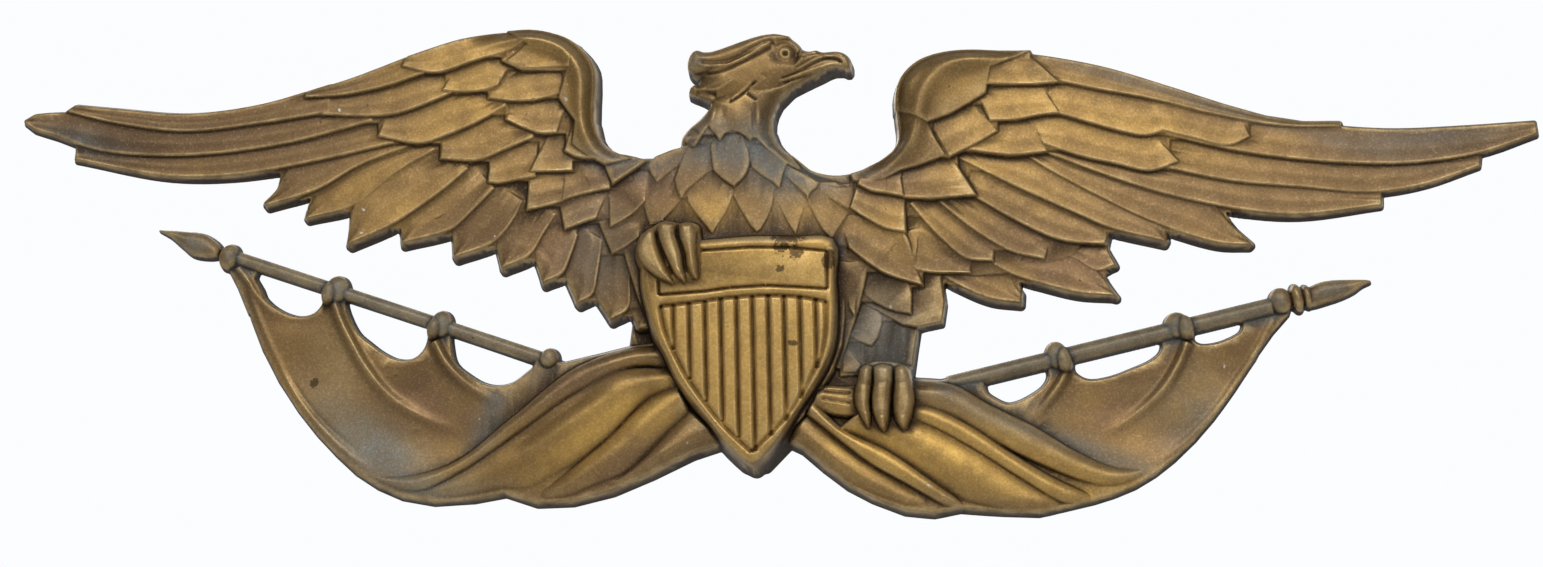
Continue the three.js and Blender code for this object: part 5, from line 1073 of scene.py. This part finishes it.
def buildCasting():
    # the grid cells over the casting, front and back, joined along the outline where the face is zero
    inside = face > 0
    cells = inside[:-1, :-1] | inside[1:, :-1] | inside[:-1, 1:] | inside[1:, 1:]
    used = np.zeros(face.shape, bool)
    for rows in (slice(None, -1), slice(1, None)):
        for cols in (slice(None, -1), slice(1, None)):
            used[rows, cols] |= cells
    rim = used & ~inside
    # places just outside move down the slope to where the face meets the wall
    slopeZ, slopeX = np.gradient(face, relief["step"])
    steep = np.maximum(slopeX**2 + slopeZ**2, relief["leastSlope"])
    reach = relief["step"]
    shiftX = np.clip(-face * slopeX / steep, -reach, reach)
    shiftZ = np.clip(-face * slopeZ / steep, -reach, reach)
    x = np.where(rim, gridX + shiftX, gridX)[used]
    z = np.where(rim, gridZ + shiftZ, gridZ)[used]
    height = np.where(rim, 0, face)[used]
    front = np.full(face.shape, -1)
    front[used] = np.arange(used.sum())
    behindNumber = front.copy()
    behindNumber[inside] = used.sum() + np.arange(inside.sum())
    frontVertices = np.stack([x, -height, z], 1)
    backVertices = np.stack([gridX[inside], -hollow[inside], gridZ[inside]], 1)
    vertices = np.vstack([frontVertices, backVertices]) * mm

    def quads(number, order):
        # the four corners of each used cell, in the given order
        corners = [number[:-1, :-1], number[:-1, 1:], number[1:, 1:], number[1:, :-1]]
        return np.stack([corners[i][cells] for i in order], 1)

    faces = np.vstack([quads(front, (0, 1, 2, 3)), quads(behindNumber, (3, 2, 1, 0))])
    mesh = bpy.data.meshes.new("eagleCasting")
    mesh.vertices.add(len(vertices))
    mesh.vertices.foreach_set("co", vertices.ravel())
    mesh.loops.add(faces.size)
    mesh.loops.foreach_set("vertex_index", faces.ravel())
    mesh.polygons.add(len(faces))
    mesh.polygons.foreach_set("loop_start", np.arange(0, faces.size, 4))
    mesh.update(calc_edges=True)
    mesh.validate()
    casting = bpy.data.objects.new("eagle_casting", mesh)
    bpy.context.scene.collection.objects.link(casting)
    print("casting grid:", len(faces), "cells")
    return casting


def reduceMesh(piece):
    # fewer triangles where the surface is plain, the same shape where it is carved
    target = relief["triangles"] / (2 * len(piece.data.polygons))
    if target < 1:
        fewer = piece.modifiers.new("fewer", "DECIMATE")
        fewer.ratio = target
        plain = bpy.data.meshes.new_from_object(piece.evaluated_get(bpy.context.evaluated_depsgraph_get()))
        old = piece.data
        piece.modifiers.clear()
        piece.data = plain
        bpy.data.meshes.remove(old)
    # tips that the reduction moved outwards go back inside the casting's box
    places = np.empty(3 * len(piece.data.vertices))
    piece.data.vertices.foreach_get("co", places)
    low, high = np.array(cadBox)
    places = np.clip(places.reshape(-1, 3), low + relief["inset"] * mm, high)
    piece.data.vertices.foreach_set("co", places.ravel())
    print("casting mesh:", len(piece.data.polygons), "faces")


casting = buildCasting()
reduceMesh(casting)
casting.data.polygons.foreach_set("use_smooth", np.ones(len(casting.data.polygons), bool))
casting.data.set_sharp_from_angle(angle=math.radians(relief["crease"]))


# colours of paint, patina and metal, with painted shade and painted highlights among them, and how strongly
# they show
finish = {
    "bronze": (0.225, 0.134, 0.055, 1), "gold": (0.72, 0.435, 0.105, 1), "rose": (0.235, 0.135, 0.076, 1),
    "slate": (0.150, 0.165, 0.155, 1), "umber": (0.060, 0.033, 0.015, 1), "line": (0.018, 0.010, 0.005, 1),
    "lip": (0.60, 0.42, 0.19, 1), "chip": (0.62, 0.58, 0.50, 1), "rust": (0.050, 0.026, 0.010, 1),
    "pale": (0.36, 0.34, 0.28, 1), "metal": (0.115, 0.095, 0.072, 1), "bare": (0.05, 0.042, 0.034, 1),
    "darkGrain": (0.55, 0.55, 0.55, 1), "lightGrain": (0.9, 0.85, 0.7, 1),
    "lineStrength": 0.68, "stainShare": 0.3,
    "metallic": 0.7, "slateDulls": 0.6,               # slate takes this share of the metal look
    "slateRough": 0.16, "lineRough": 0.2, "rearRough": 0.25,
    "grainDepth": 0.10, "mottleDepth": 0.25, "bump": 0.5,
}

# cloudy patterns: size in millimetres, detail, roughness, shift
patterns = {
    "mottle": (11.0, 5.0, 0.62), "cloud": (42.0, 3.0, 0.6, 3.1), "grain": (1.1, 2.0, 0.6, 1.7),
    "chip": (4.5, 1.0, 0.5, 7.3), "spot": (3.6, 1.0, 0.5, 11.9), "ragged": (2.7, 4.0, 0.7, 5.1),
}

# how much each layer shows: from and to of the pattern, then the amounts at those two, else 0 and 1
ranges = {
    "uneven": (0.3, 0.7), "steep": (0.62, 0.25),
    # a painted cool sheen on walls that look up, painted shade on walls that look down
    "upWallPaintedSheen": (0.05, 0.6, 0.0, 0.7), "downWallPaintedShade": (0.2, -0.1, 0.0, 0.85),
    "gold": (0.28, 0.62, 0.55, 1.0), "moreGold": (0.5, 0.75, 0.0, 0.25),
    "rose": (0.3, 0.6, 0.5, 1.0), "sunk": (0.3, 0.7, 0.5, 0.85), "slate": (0.25, 0.6, 0.55, 1.0),
    # lip colour: rubbed paint with a painted highlight
    "rubbedAndHighlit": (0.0, 1.0, 0.4, 0.9), "pale": (0.3, 0.6, 0.5, 1.0),
    "darkGrain": (0.62, 0.38, 0.0, 0.4), "lightGrain": (0.56, 0.8, 0.0, 0.12),
    "chip": (0.80, 0.83, 0.0, 0.7), "spot": (0.775, 0.82, 0.0, 0.6),
    "ragged": (0.62, 0.70), "stained": (0.0, 0.3, 0.0, 0.8),
    "rough": (0.3, 0.7, 0.46, 0.36),
}

# where the relief and the places of the shield, poles and claws change the finish
marks = {
    "fine": 0.8, "broad": 3.4,                      # how far round the mean heights are taken
    "lip": 0.36, "line": 0.42, "sunk": 1.5,         # heights over or under them that count in full
    "lineFrom": 0.15,                               # creases shallower than this share stay light
    "rearGain": 2.0, "rearFrom": 0.3, "rearSkin": 0.2,
    "poleFade": 4.0, "poleSlate": 0.85,
    "shieldFade": 1.5, "shieldFrom": 24.0, "shieldGold": 0.8,
    "cleanBelow": -31.0, "clean": 0.9,              # little slate on the shield below this z
    "wallFade": 0.3, "wallFrom": 20.0, "wallUmber": 0.9, "wallClean": 0.9,
    "wallCleanFrom": -30.0, "wallCleanReach": 10.0,
    "clawFade": 1.2, "clawShare": 0.6, "clawUmber": 0.45, "clawSunk": 0.4,
}

# soft patches of each colour: x, z, half width, half height, degrees of turn, strength
tints = {
    "gold": [
        [129, 47, 60, 26, -8, 0.4], [104, 0, 22, 26, 0, 0.1], [189, 25, 50, 14, -12, 0.35],
        [144, 0, 40, 18, -22, 0.2], [74, -20, 18, 16, 0, 0.4], [249, 20, 60, 12, -5, 0.2],
        [-136, 47, 34, 16, 0, 0.45], [-156, 30, 40, 14, 0, 0.25], [-126, 72, 46, 10, 0, 0.35],
        [-88, 45, 8, 28, 0, 0.35], [-201, 5, 34, 9, 28, 0.4], [-176, -8, 34, 12, 30, 0.35],
        [-116, 10, 20, 14, 0, 0.25], [6, 57, 18, 12, 0, 0.25], [-6, 40, 9, 14, 0, 0.35],
        [-22, -11, 18, 10, 0, 0.5], [24, -5, 18, 8, 0, 0.3], [-76, -120, 46, 14, 38, 0.8],
        [-46, -110, 30, 14, 30, 0.6], [104, -132, 64, 16, -18, 0.95], [64, -135, 34, 14, -30, 0.85],
        [164, -150, 40, 10, 0, 0.6], [-216, -95, 30, 36, 30, 0.5], [200, -118, 36, 22, 30, 0.45],
        [-150, -140, 50, 14, 20, 0.4], [120, -120, 50, 14, -20, 0.6],
    ],
    "slate": [
        [0, 22, 26, 13, 0, 0.95], [18, 8, 16, 13, 0, 0.8], [-26, 22, 12, 8, 0, 0.6], [36, 6, 14, 8, 0, 0.5],
        [-188, -130, 34, 12, -35, 0.8], [-131, -110, 7, 26, -20, 0.75], [-106, -85, 26, 6, 10, 0.7],
        [-256, -70, 6, 34, 15, 0.4], [149, -125, 70, 6, -20, 0.7], [219, -115, 20, 20, 45, 0.5],
        [124, -105, 24, 6, -10, 0.5], [66, -80, 16, 10, 0, 0.85], [62, -62, 9, 20, 0, 0.25],
        [-66, 15, 22, 7, -10, 0.6], [-76, -30, 16, 26, 0, 0.35], [-346, 32, 20, 6, -15, 0.5],
        [334, 25, 40, 8, 5, 0.35], [214, 47, 90, 4, -17, 0.5], [-28, 36, 6, 10, 0, 0.4],
        [-31, 65, 6, 6, 0, 0.3], [2, -27, 42, 1.6, 0, 0.6],
        [-288, -22, 17, 8, -30, 0.8], [291, -52, 18, 7, 8, 0.6], [-180, -150, 50, 8, 0, 0.5],
        [-6, 77, 26, 3, 15, 0.6], [-29, 66, 5, 8, 0, 0.6], [43, -31, 3, 5, 0, 0.7], [40, 8, 24, 3, 0, 0.8],
        [-50, 16, 14, 3, -10, 0.8], [66, -78, 20, 14, 0, 0.6],
    ],
    "rose": [
        [-51, 2, 22, 10, 0, 0.8], [64, 5, 20, 8, 0, 0.6], [-166, -105, 30, 12, -35, 0.6],
        [-120, -160, 60, 8, 6, 0.8], [110, -164, 60, 7, 0, 0.7], [-60, -136, 20, 8, 30, 0.6],
        [210, -128, 30, 10, 20, 0.5], [-226, -90, 10, 30, 20, 0.4], [-96, -98, 30, 6, 20, 0.7],
        [184, -110, 30, 14, 30, 0.6], [-96, -25, 24, 22, 0, 0.5], [-300, 32, 60, 12, 0, 0.35],
        [299, 20, 50, 12, 0, 0.35], [164, -40, 40, 12, -20, 0.5],
    ],
    "pale": [
        [67, -80, 13, 12, 0, 0.7], [64, -62, 8, 8, 0, 0.3], [-190, -125, 40, 14, -35, 0.35],
        [-170, -60, 60, 6, -19, 0.3], [-210, -90, 14, 30, 20, 0.2],
    ],
    "umber": [
        # [-52, -70] and [50, -60]: painted shade along the shield's side walls, with dark patina
        [74, 40, 5, 28, 0, 0.35], [-52, -70, 5, 34, 0, 0.5], [50, -60, 4, 34, 0, 0.5],
        [-40, -36, 16, 16, 0, 0.45], [-330, 28, 40, 10, -8, 0.4], [45, 64, 18, 9, 0, 0.6],
        [-280, 34, 60, 14, 0, 0.3], [178, -78, 90, 5, 13.5, 0.35], [-90, 50, 5, 30, 0, 0.2],
        [291, -52, 20, 7, 8, 0.4], [-126, -20, 50, 16, 30, 0.25], [24, 50, 20, 8, 15, 0.6],
        # [13, 67.6] and [21.4, 68]: painted shade in the eye socket
        [4, 38, 8, 14, 0, 0.4], [2, 62, 20, 10, 0, 0.2], [13, 67.6, 5, 4.4, 0, 0.7],
        [21.4, 68, 2.6, 5, 0, 0.6], [-352, 30, 50, 16, 0, 0.6], [360, 22, 60, 16, 5, 0.5],
        # [-120, -164] and [110, -168]: painted shade along the lower edges of the gathered cloth, where its
        # rolls round under
        [120, -42, 60, 10, -20, 0.4], [82, 40, 12, 24, 0, 0.4], [-120, -164, 60, 4, 6, 0.45],
        [110, -168, 60, 4, 0, 0.45], [-352, 26, 50, 14, 0, 0.3], [110, -8, 30, 12, -10, 0.3],
        [340, -50, 12, 7, 8, 0.6], [125, 62, 60, 8, -5, 0.3],
    ],
}

# dark stains: x, z, half width, half height
stains = [[16, -30, 6, 9], [23, -34, 6, 6], [19, -27, 13, 4.4], [39.5, -38, 5, 9], [15, -42, 4, 3],
          [-222, -94, 4, 4], [21.5, -79.4, 4.4, 2.4]]


def sampleGrid(values, x, z):
    # bilinear reading of a grid at places
    col = np.clip((x - xLine[0]) / relief["step"], 0, len(xLine) - 1.001)
    row = np.clip((z - zLine[0]) / relief["step"], 0, len(zLine) - 1.001)
    i, j = row.astype(int), col.astype(int)
    u, v = row - i, col - j
    return (values[i, j] * (1 - u) * (1 - v) + values[i + 1, j] * u * (1 - v)
            + values[i, j + 1] * (1 - u) * v + values[i + 1, j + 1] * u * v)


def aroundMean(values, mask, spread):
    # the mean of the height nearby, counted over the casting alone
    return soften(values * mask, spread) / np.maximum(soften(mask, spread), 1e-3)


def writeAttribute(mesh, name, values):
    # one number from 0 to 1 for each vertex
    attribute = mesh.attributes.new(name, "FLOAT", "POINT")
    attribute.data.foreach_set("value", np.clip(values, 0, 1).astype(np.float32))


def patches(name, x, z):
    # 1 - product of (1 - strength * exp(-(u^2 + v^2))), u and v the turned and scaled offsets
    left = np.ones(len(x))
    for centreX, centreZ, wide, tall, degrees, strength in tints[name]:
        turn = math.radians(degrees)
        u = ((x - centreX) * math.cos(turn) + (z - centreZ) * math.sin(turn)) / wide
        v = ((z - centreZ) * math.cos(turn) - (x - centreX) * math.sin(turn)) / tall
        left *= 1 - strength * np.exp(-u**2 - v**2)
    return 1 - left


def nearShape(x, z, loop, fade):
    # 1 inside a closed outline, falling to 0 over the fade outside it
    return smoothStep(edgeDistance(x, z, np.asarray(loop, float)) / fade + 1)


def markFinish(piece):
    # the tints, with their own rules on poles, shield and claws; lips, creases and hollows are the height
    # over or under the mean nearby, as a share of the height that counts in full, and carry painted
    # highlights and painted shade
    mask = (face > relief["least"]).astype(float)
    top = np.maximum(face, 0)
    fineGrid = top - aroundMean(top, mask, marks["fine"])
    broadGrid = top - aroundMean(top, mask, marks["broad"])
    count = len(piece.data.vertices)
    places, normals = np.empty(count * 3), np.empty(count * 3, np.float32)
    piece.data.vertices.foreach_get("co", places)
    piece.data.vertices.foreach_get("normal", normals)
    x, y, z = (places.reshape(-1, 3) / mm).T
    fine, broad = sampleGrid(fineGrid, x, z), sampleGrid(broadGrid, x, z)
    share = {name: patches(name, x, z) for name in tints}
    for line, halfWidth in poles["lines"]:
        distance = lineDistance(x, z, np.asarray(line, float))[0]
        onPole = np.exp(-(distance / (halfWidth + marks["poleFade"]))**4)
        share["slate"] = np.maximum(share["slate"], onPole * marks["poleSlate"])
        share["gold"] *= 1 - onPole
    onShield = nearShape(x, z, shield["outline"], marks["shieldFade"]) * (y < -marks["shieldFrom"])
    share["gold"] = np.maximum(share["gold"], onShield * marks["shieldGold"])
    # the shield's wall on the right and the shelf round it are umber: painted shade, with dark patina
    beside = nearShape(x, z, shield["skirt"], marks["shieldFade"])
    beside *= (1 - nearShape(x, z, shield["outline"], marks["wallFade"])) * (x > marks["wallFrom"])
    share["umber"] = np.maximum(share["umber"], marks["wallUmber"] * beside)
    lower = smoothStep((marks["wallCleanFrom"] - z) / marks["wallCleanReach"])
    share["slate"] *= 1 - marks["wallClean"] * beside * lower
    share["slate"] *= 1 - marks["clean"] * onShield * (z < marks["cleanBelow"])
    claw = np.zeros(count)
    for outline, edge, bulge, reach in claws["toes"]:
        onToe = nearShape(x, z, outline, marks["clawFade"]) * (y < 1 - edge * marks["clawShare"])
        claw = np.maximum(claw, onToe)
    share["umber"] = np.maximum(share["umber"], claw * marks["clawUmber"])
    # lip colour: rubbed paint on the lips with a painted highlight, and on the claws a painted highlight
    # wherever they stand above the mean nearby
    share["rubbedAndHighlit"] = np.maximum(fine / marks["lip"], claw * broad / marks["sunk"])
    # the near-black line colour in creases and just under lips: painted shade
    share["line"] = -fine / marks["line"] - marks["lineFrom"]
    # umber in hollows below the mean nearby: the finish's dark glaze, with painted shade; less on the claws
    share["sunk"] = -broad / marks["sunk"] * (1 - marks["clawSunk"] * claw)
    turned = smoothStep(normals[1::3] * marks["rearGain"] - marks["rearFrom"])
    share["rear"] = turned + (y > -marks["rearSkin"])
    for name, values in share.items():
        writeAttribute(piece.data, name, values)


markFinish(casting)
print("finish marked")


class Mixer:
    # short ways to add and join shader nodes
    def __init__(self, name):
        self.material = bpy.data.materials.new(name)
        self.material.use_nodes = True
        self.nodes, self.links = self.material.node_tree.nodes, self.material.node_tree.links
        self.shader = self.nodes["Principled BSDF"]
        self.place = self.nodes.new("ShaderNodeTexCoord").outputs["Object"]

    def feed(self, socket, value):
        # a fixed value or another node's output
        if isinstance(value, (tuple, float, int)):
            socket.default_value = value
        else:
            self.links.new(value, socket)

    def attribute(self, name):
        # the share of a finish, kept on the vertices
        node = self.nodes.new("ShaderNodeAttribute")
        node.attribute_name = name
        return node.outputs["Fac"]

    def noise(self, size, detail, rough, shift=0.0):
        # cloudy pattern, its features about as wide as the size in millimetres
        spot = self.nodes.new("ShaderNodeMapping")
        spot.inputs["Location"].default_value = (shift, shift * 0.7, -shift)
        self.links.new(self.place, spot.inputs["Vector"])
        node = self.nodes.new("ShaderNodeTexNoise")
        node.inputs["Scale"].default_value = 1000 / size
        node.inputs["Detail"].default_value = detail
        node.inputs["Roughness"].default_value = rough
        self.links.new(spot.outputs["Vector"], node.inputs["Vector"])
        return node.outputs["Fac"]

    def spread(self, value, low, high, start=0.0, end=1.0):
        # value from low..high to start..end, held at both ends
        node = self.nodes.new("ShaderNodeMapRange")
        node.interpolation_type = "SMOOTHSTEP"
        self.feed(node.inputs["Value"], value)
        for name, number in (("From Min", low), ("From Max", high), ("To Min", start), ("To Max", end)):
            node.inputs[name].default_value = number
        return node.outputs["Result"]

    def inStain(self, centreX, centreZ, wide, tall):
        # 1 in the middle of an ellipse on the face, falling to 0 at its edge
        spot = self.nodes.new("ShaderNodeMapping")
        spot.vector_type = "TEXTURE"
        spot.inputs["Location"].default_value = (centreX * mm, 0, centreZ * mm)
        spot.inputs["Scale"].default_value = (wide * mm, 1, tall * mm)
        self.links.new(self.place, spot.inputs["Vector"])
        length = self.nodes.new("ShaderNodeVectorMath")
        length.operation = "LENGTH"
        self.links.new(spot.outputs["Vector"], length.inputs[0])
        return self.spread(length.outputs["Value"], 1.0, 0.2)

    def join(self, kind, first, second, held=False):
        # two values added, multiplied or compared, held between 0 and 1 on request
        node = self.nodes.new("ShaderNodeMath")
        node.operation, node.use_clamp = kind, held
        self.feed(node.inputs[0], first)
        self.feed(node.inputs[1], second)
        return node.outputs[0]

    def times(self, first, second):
        # first x second
        return self.join("MULTIPLY", first, second)

    def part(self, name, pattern):
        # attribute x range(pattern)
        return self.times(self.attribute(name), self.spread(pattern, *ranges[name]))

    def blend(self, base, over, amount, kind="MIX"):
        # base (1 - amount) + over amount, or another kind of mixing
        node = self.nodes.new("ShaderNodeMix")
        node.data_type, node.blend_type = "RGBA", kind
        self.feed(node.inputs[0], amount)
        self.feed(node.inputs[6], base)
        self.feed(node.inputs[7], over)
        return node.outputs[2]


def makeGold():
    # bronze, then layer over layer as the paint and the patina lie on it, with painted shade in hollows,
    # creases and on walls that look down, painted highlights on lips and a painted cool sheen on walls that
    # look up
    mix = Mixer("antiqueGold")
    mottle, cloud, grain = [mix.noise(*patterns[name]) for name in ("mottle", "cloud", "grain")]
    uneven = mix.spread(mottle, *ranges["uneven"])
    # walls between levels: a painted cool sheen in slate where they look up, painted shade in umber where
    # they look down
    normal = mix.nodes.new("ShaderNodeSeparateXYZ")
    mix.feed(normal.inputs[0], mix.nodes.new("ShaderNodeNewGeometry").outputs["Normal"])
    steep = mix.spread(mix.join("ABSOLUTE", normal.outputs[1], 0.0), *ranges["steep"])
    upWallPaintedSheen, downWallPaintedShade = [mix.times(steep, mix.spread(normal.outputs[2], *ranges[name]))
                        for name in ("upWallPaintedSheen", "downWallPaintedShade")]
    # brassy gold is thinner where the mottle is low
    goldAmount = mix.join("ADD", mix.part("gold", mottle), mix.spread(cloud, *ranges["moreGold"]), True)
    # slate patina, and the painted cool sheen on walls that look up
    slateAndUpSheen = mix.times(mix.join("MAXIMUM", mix.attribute("slate"), upWallPaintedSheen),
                            mix.spread(mottle, *ranges["slate"]))
    # painted shade in creases and under lips
    creaseShade = mix.times(mix.attribute("line"), finish["lineStrength"])
    colour = finish["bronze"]
    # in this order: gold, rose, umber in hollows (dark glaze with painted shade), umber on walls that look
    # down (painted shade), slate with a painted cool sheen, lip colour (rubbed paint with a painted
    # highlight), pale, and the line colour in creases (painted shade)
    for name, amount in (("gold", goldAmount), ("rose", mix.part("rose", cloud)),
                         ("umber", mix.part("sunk", mottle)),
                         ("umber", mix.join("MAXIMUM", mix.attribute("umber"), downWallPaintedShade)),
                         ("slate", slateAndUpSheen), ("lip", mix.part("rubbedAndHighlit", uneven)),
                         ("pale", mix.part("pale", mottle)), ("line", creaseShade)):
        colour = mix.blend(colour, finish[name], amount)
    # the paint's grain, pale chips and dark spots
    for name, kind in (("darkGrain", "MULTIPLY"), ("lightGrain", "SCREEN")):
        colour = mix.blend(colour, finish[name], mix.spread(grain, *ranges[name]), kind)
    for name, layer in (("chip", "chip"), ("spot", "rust")):
        colour = mix.blend(colour, finish[layer], mix.spread(mix.noise(*patterns[name]), *ranges[name]))
    # ragged dark stains
    stained = 0.0
    for stain in stains:
        stained = mix.join("MAXIMUM", mix.inStain(*stain), stained)
    ragged = mix.join("ADD", mix.noise(*patterns["ragged"]), mix.times(stained, finish["stainShare"]))
    ragged = mix.spread(ragged, *ranges["ragged"])
    colour = mix.blend(colour, finish["rust"], mix.times(ragged, mix.spread(stained, *ranges["stained"])))
    # bare metal behind
    rear = mix.attribute("rear")
    colour = mix.blend(colour, mix.blend(finish["metal"], finish["bare"], uneven), rear)
    mix.feed(mix.shader.inputs["Base Color"], colour)

    rough = mix.spread(mottle, *ranges["rough"])
    for amount, more in ((slateAndUpSheen, "slateRough"), (creaseShade, "lineRough"), (rear, "rearRough")):
        rough = mix.join("ADD", rough, mix.times(amount, finish[more]), True)
    mix.feed(mix.shader.inputs["Roughness"], rough)
    shine = mix.join("SUBTRACT", 1.0, mix.times(slateAndUpSheen, finish["slateDulls"]))
    mix.feed(mix.shader.inputs["Metallic"], mix.times(shine, finish["metallic"]))

    bump = mix.nodes.new("ShaderNodeBump")
    bump.inputs["Distance"].default_value = mm
    bump.inputs["Strength"].default_value = finish["bump"]
    mix.feed(bump.inputs["Height"], mix.join("ADD", mix.times(grain, finish["grainDepth"]),
                                             mix.times(mottle, finish["mottleDepth"])))
    mix.feed(mix.shader.inputs["Normal"], bump.outputs["Normal"])
    return mix.material


gold = makeGold()
casting.data.materials.append(gold)
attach(casting, "root")
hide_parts("eagle_plaque")
print("finish made")

# the camera looks slightly up at the plaque
camera = {
    "centre": (9.75, -12.0, -46.75), "distance": 1800.0,    # millimetres
    "azimuth": 4.0, "elevation": -9.0,                      # degrees
    "focal": 84.0, "sensor": 36.0,                          # millimetres
    "farthest": 20.0,                                       # metres
}


def addCamera():
    # it stands at centre + distance (sin a cos e, -cos a cos e, sin e) and looks at the centre
    turn, tilt = math.radians(camera["azimuth"]), math.radians(camera["elevation"])
    back = np.array([math.sin(turn) * math.cos(tilt), -math.cos(turn) * math.cos(tilt), math.sin(tilt)])
    lens = bpy.data.cameras.new("camera")
    lens.lens, lens.sensor_width = camera["focal"], camera["sensor"]
    lens.clip_end = camera["farthest"]
    eye = bpy.data.objects.new("camera", lens)
    bpy.context.scene.collection.objects.link(eye)
    eye.location = (np.array(camera["centre"]) + back * camera["distance"]) * mm
    eye.rotation_euler = (math.radians(90) - tilt, 0, turn)
    bpy.context.scene.camera = eye


addCamera()


# softboxes in metres and watts: place, width and height, power; each looks at the same place
lightsAim = (0, 0, -0.04)
lights = {
    "keySoftbox": ((0.0, -1.7, 1.0), (2.0, 0.9), 18),
    "fillSoftbox": ((1.0, -2.0, -0.1), (1.4, 1.2), 4),
    "backSoftbox": ((-0.6, 1.8, 0.9), (1.4, 1.0), 10),
}


def addLight(name, place, size, power):
    # a flat lamp that looks from its place to the aim
    lamp = bpy.data.lights.new(name, "AREA")
    lamp.shape, lamp.size, lamp.size_y = "RECTANGLE", size[0], size[1]
    lamp.energy = power
    light = bpy.data.objects.new(name, lamp)
    light.location = place
    aim = Vector(np.array(lightsAim) - np.array(place))
    light.rotation_euler = aim.to_track_quat("-Z", "Y").to_euler()
    bpy.context.scene.collection.objects.link(light)


for name, values in lights.items():
    addLight(name, *values)

# the room is brightest behind the plaque, so that it stands against near white
room = {"behind": 1.0, "front": 0.27, "turnsAt": (0.55, 0.92), "colour": (0.97, 0.98, 1.0, 1)}


def addRoom():
    # its brightness runs from front to behind between two values of the direction's y
    world = bpy.data.worlds.new("softRoom")
    world.use_nodes = True
    nodes, links = world.node_tree.nodes, world.node_tree.links
    background = nodes["Background"]
    background.inputs["Color"].default_value = room["colour"]
    direction = nodes.new("ShaderNodeTexCoord")
    parts = nodes.new("ShaderNodeSeparateXYZ")
    glow = nodes.new("ShaderNodeMapRange")
    glow.interpolation_type = "SMOOTHSTEP"
    glow.inputs["From Min"].default_value, glow.inputs["From Max"].default_value = room["turnsAt"]
    glow.inputs["To Min"].default_value, glow.inputs["To Max"].default_value = room["front"], room["behind"]
    links.new(direction.outputs["Generated"], parts.inputs[0])
    links.new(parts.outputs[1], glow.inputs["Value"])
    links.new(glow.outputs["Result"], background.inputs["Strength"])
    bpy.context.scene.world = world
    bpy.context.scene.view_settings.view_transform = "Standard"


addRoom()


floorShape = {"half": 4.0, "height": -0.62, "colour": (0.8, 0.8, 0.79, 1), "roughness": 0.9}


def addFloor():
    # a wide pale square well below the plaque
    half, low = floorShape["half"], floorShape["height"]
    mesh = bpy.data.meshes.new("floor")
    mesh.from_pydata([(-half, -half, low), (half, -half, low), (half, half, low), (-half, half, low)],
                     [], [(0, 1, 2, 3)])
    floor = bpy.data.objects.new("floor", mesh)
    paint = bpy.data.materials.new("floorPaint")
    paint.use_nodes = True
    inputs = paint.node_tree.nodes["Principled BSDF"].inputs
    inputs["Base Color"].default_value = floorShape["colour"]
    inputs["Roughness"].default_value = floorShape["roughness"]
    mesh.materials.append(paint)
    bpy.context.scene.collection.objects.link(floor)


addFloor()
print("camera, lights, room and floor set")
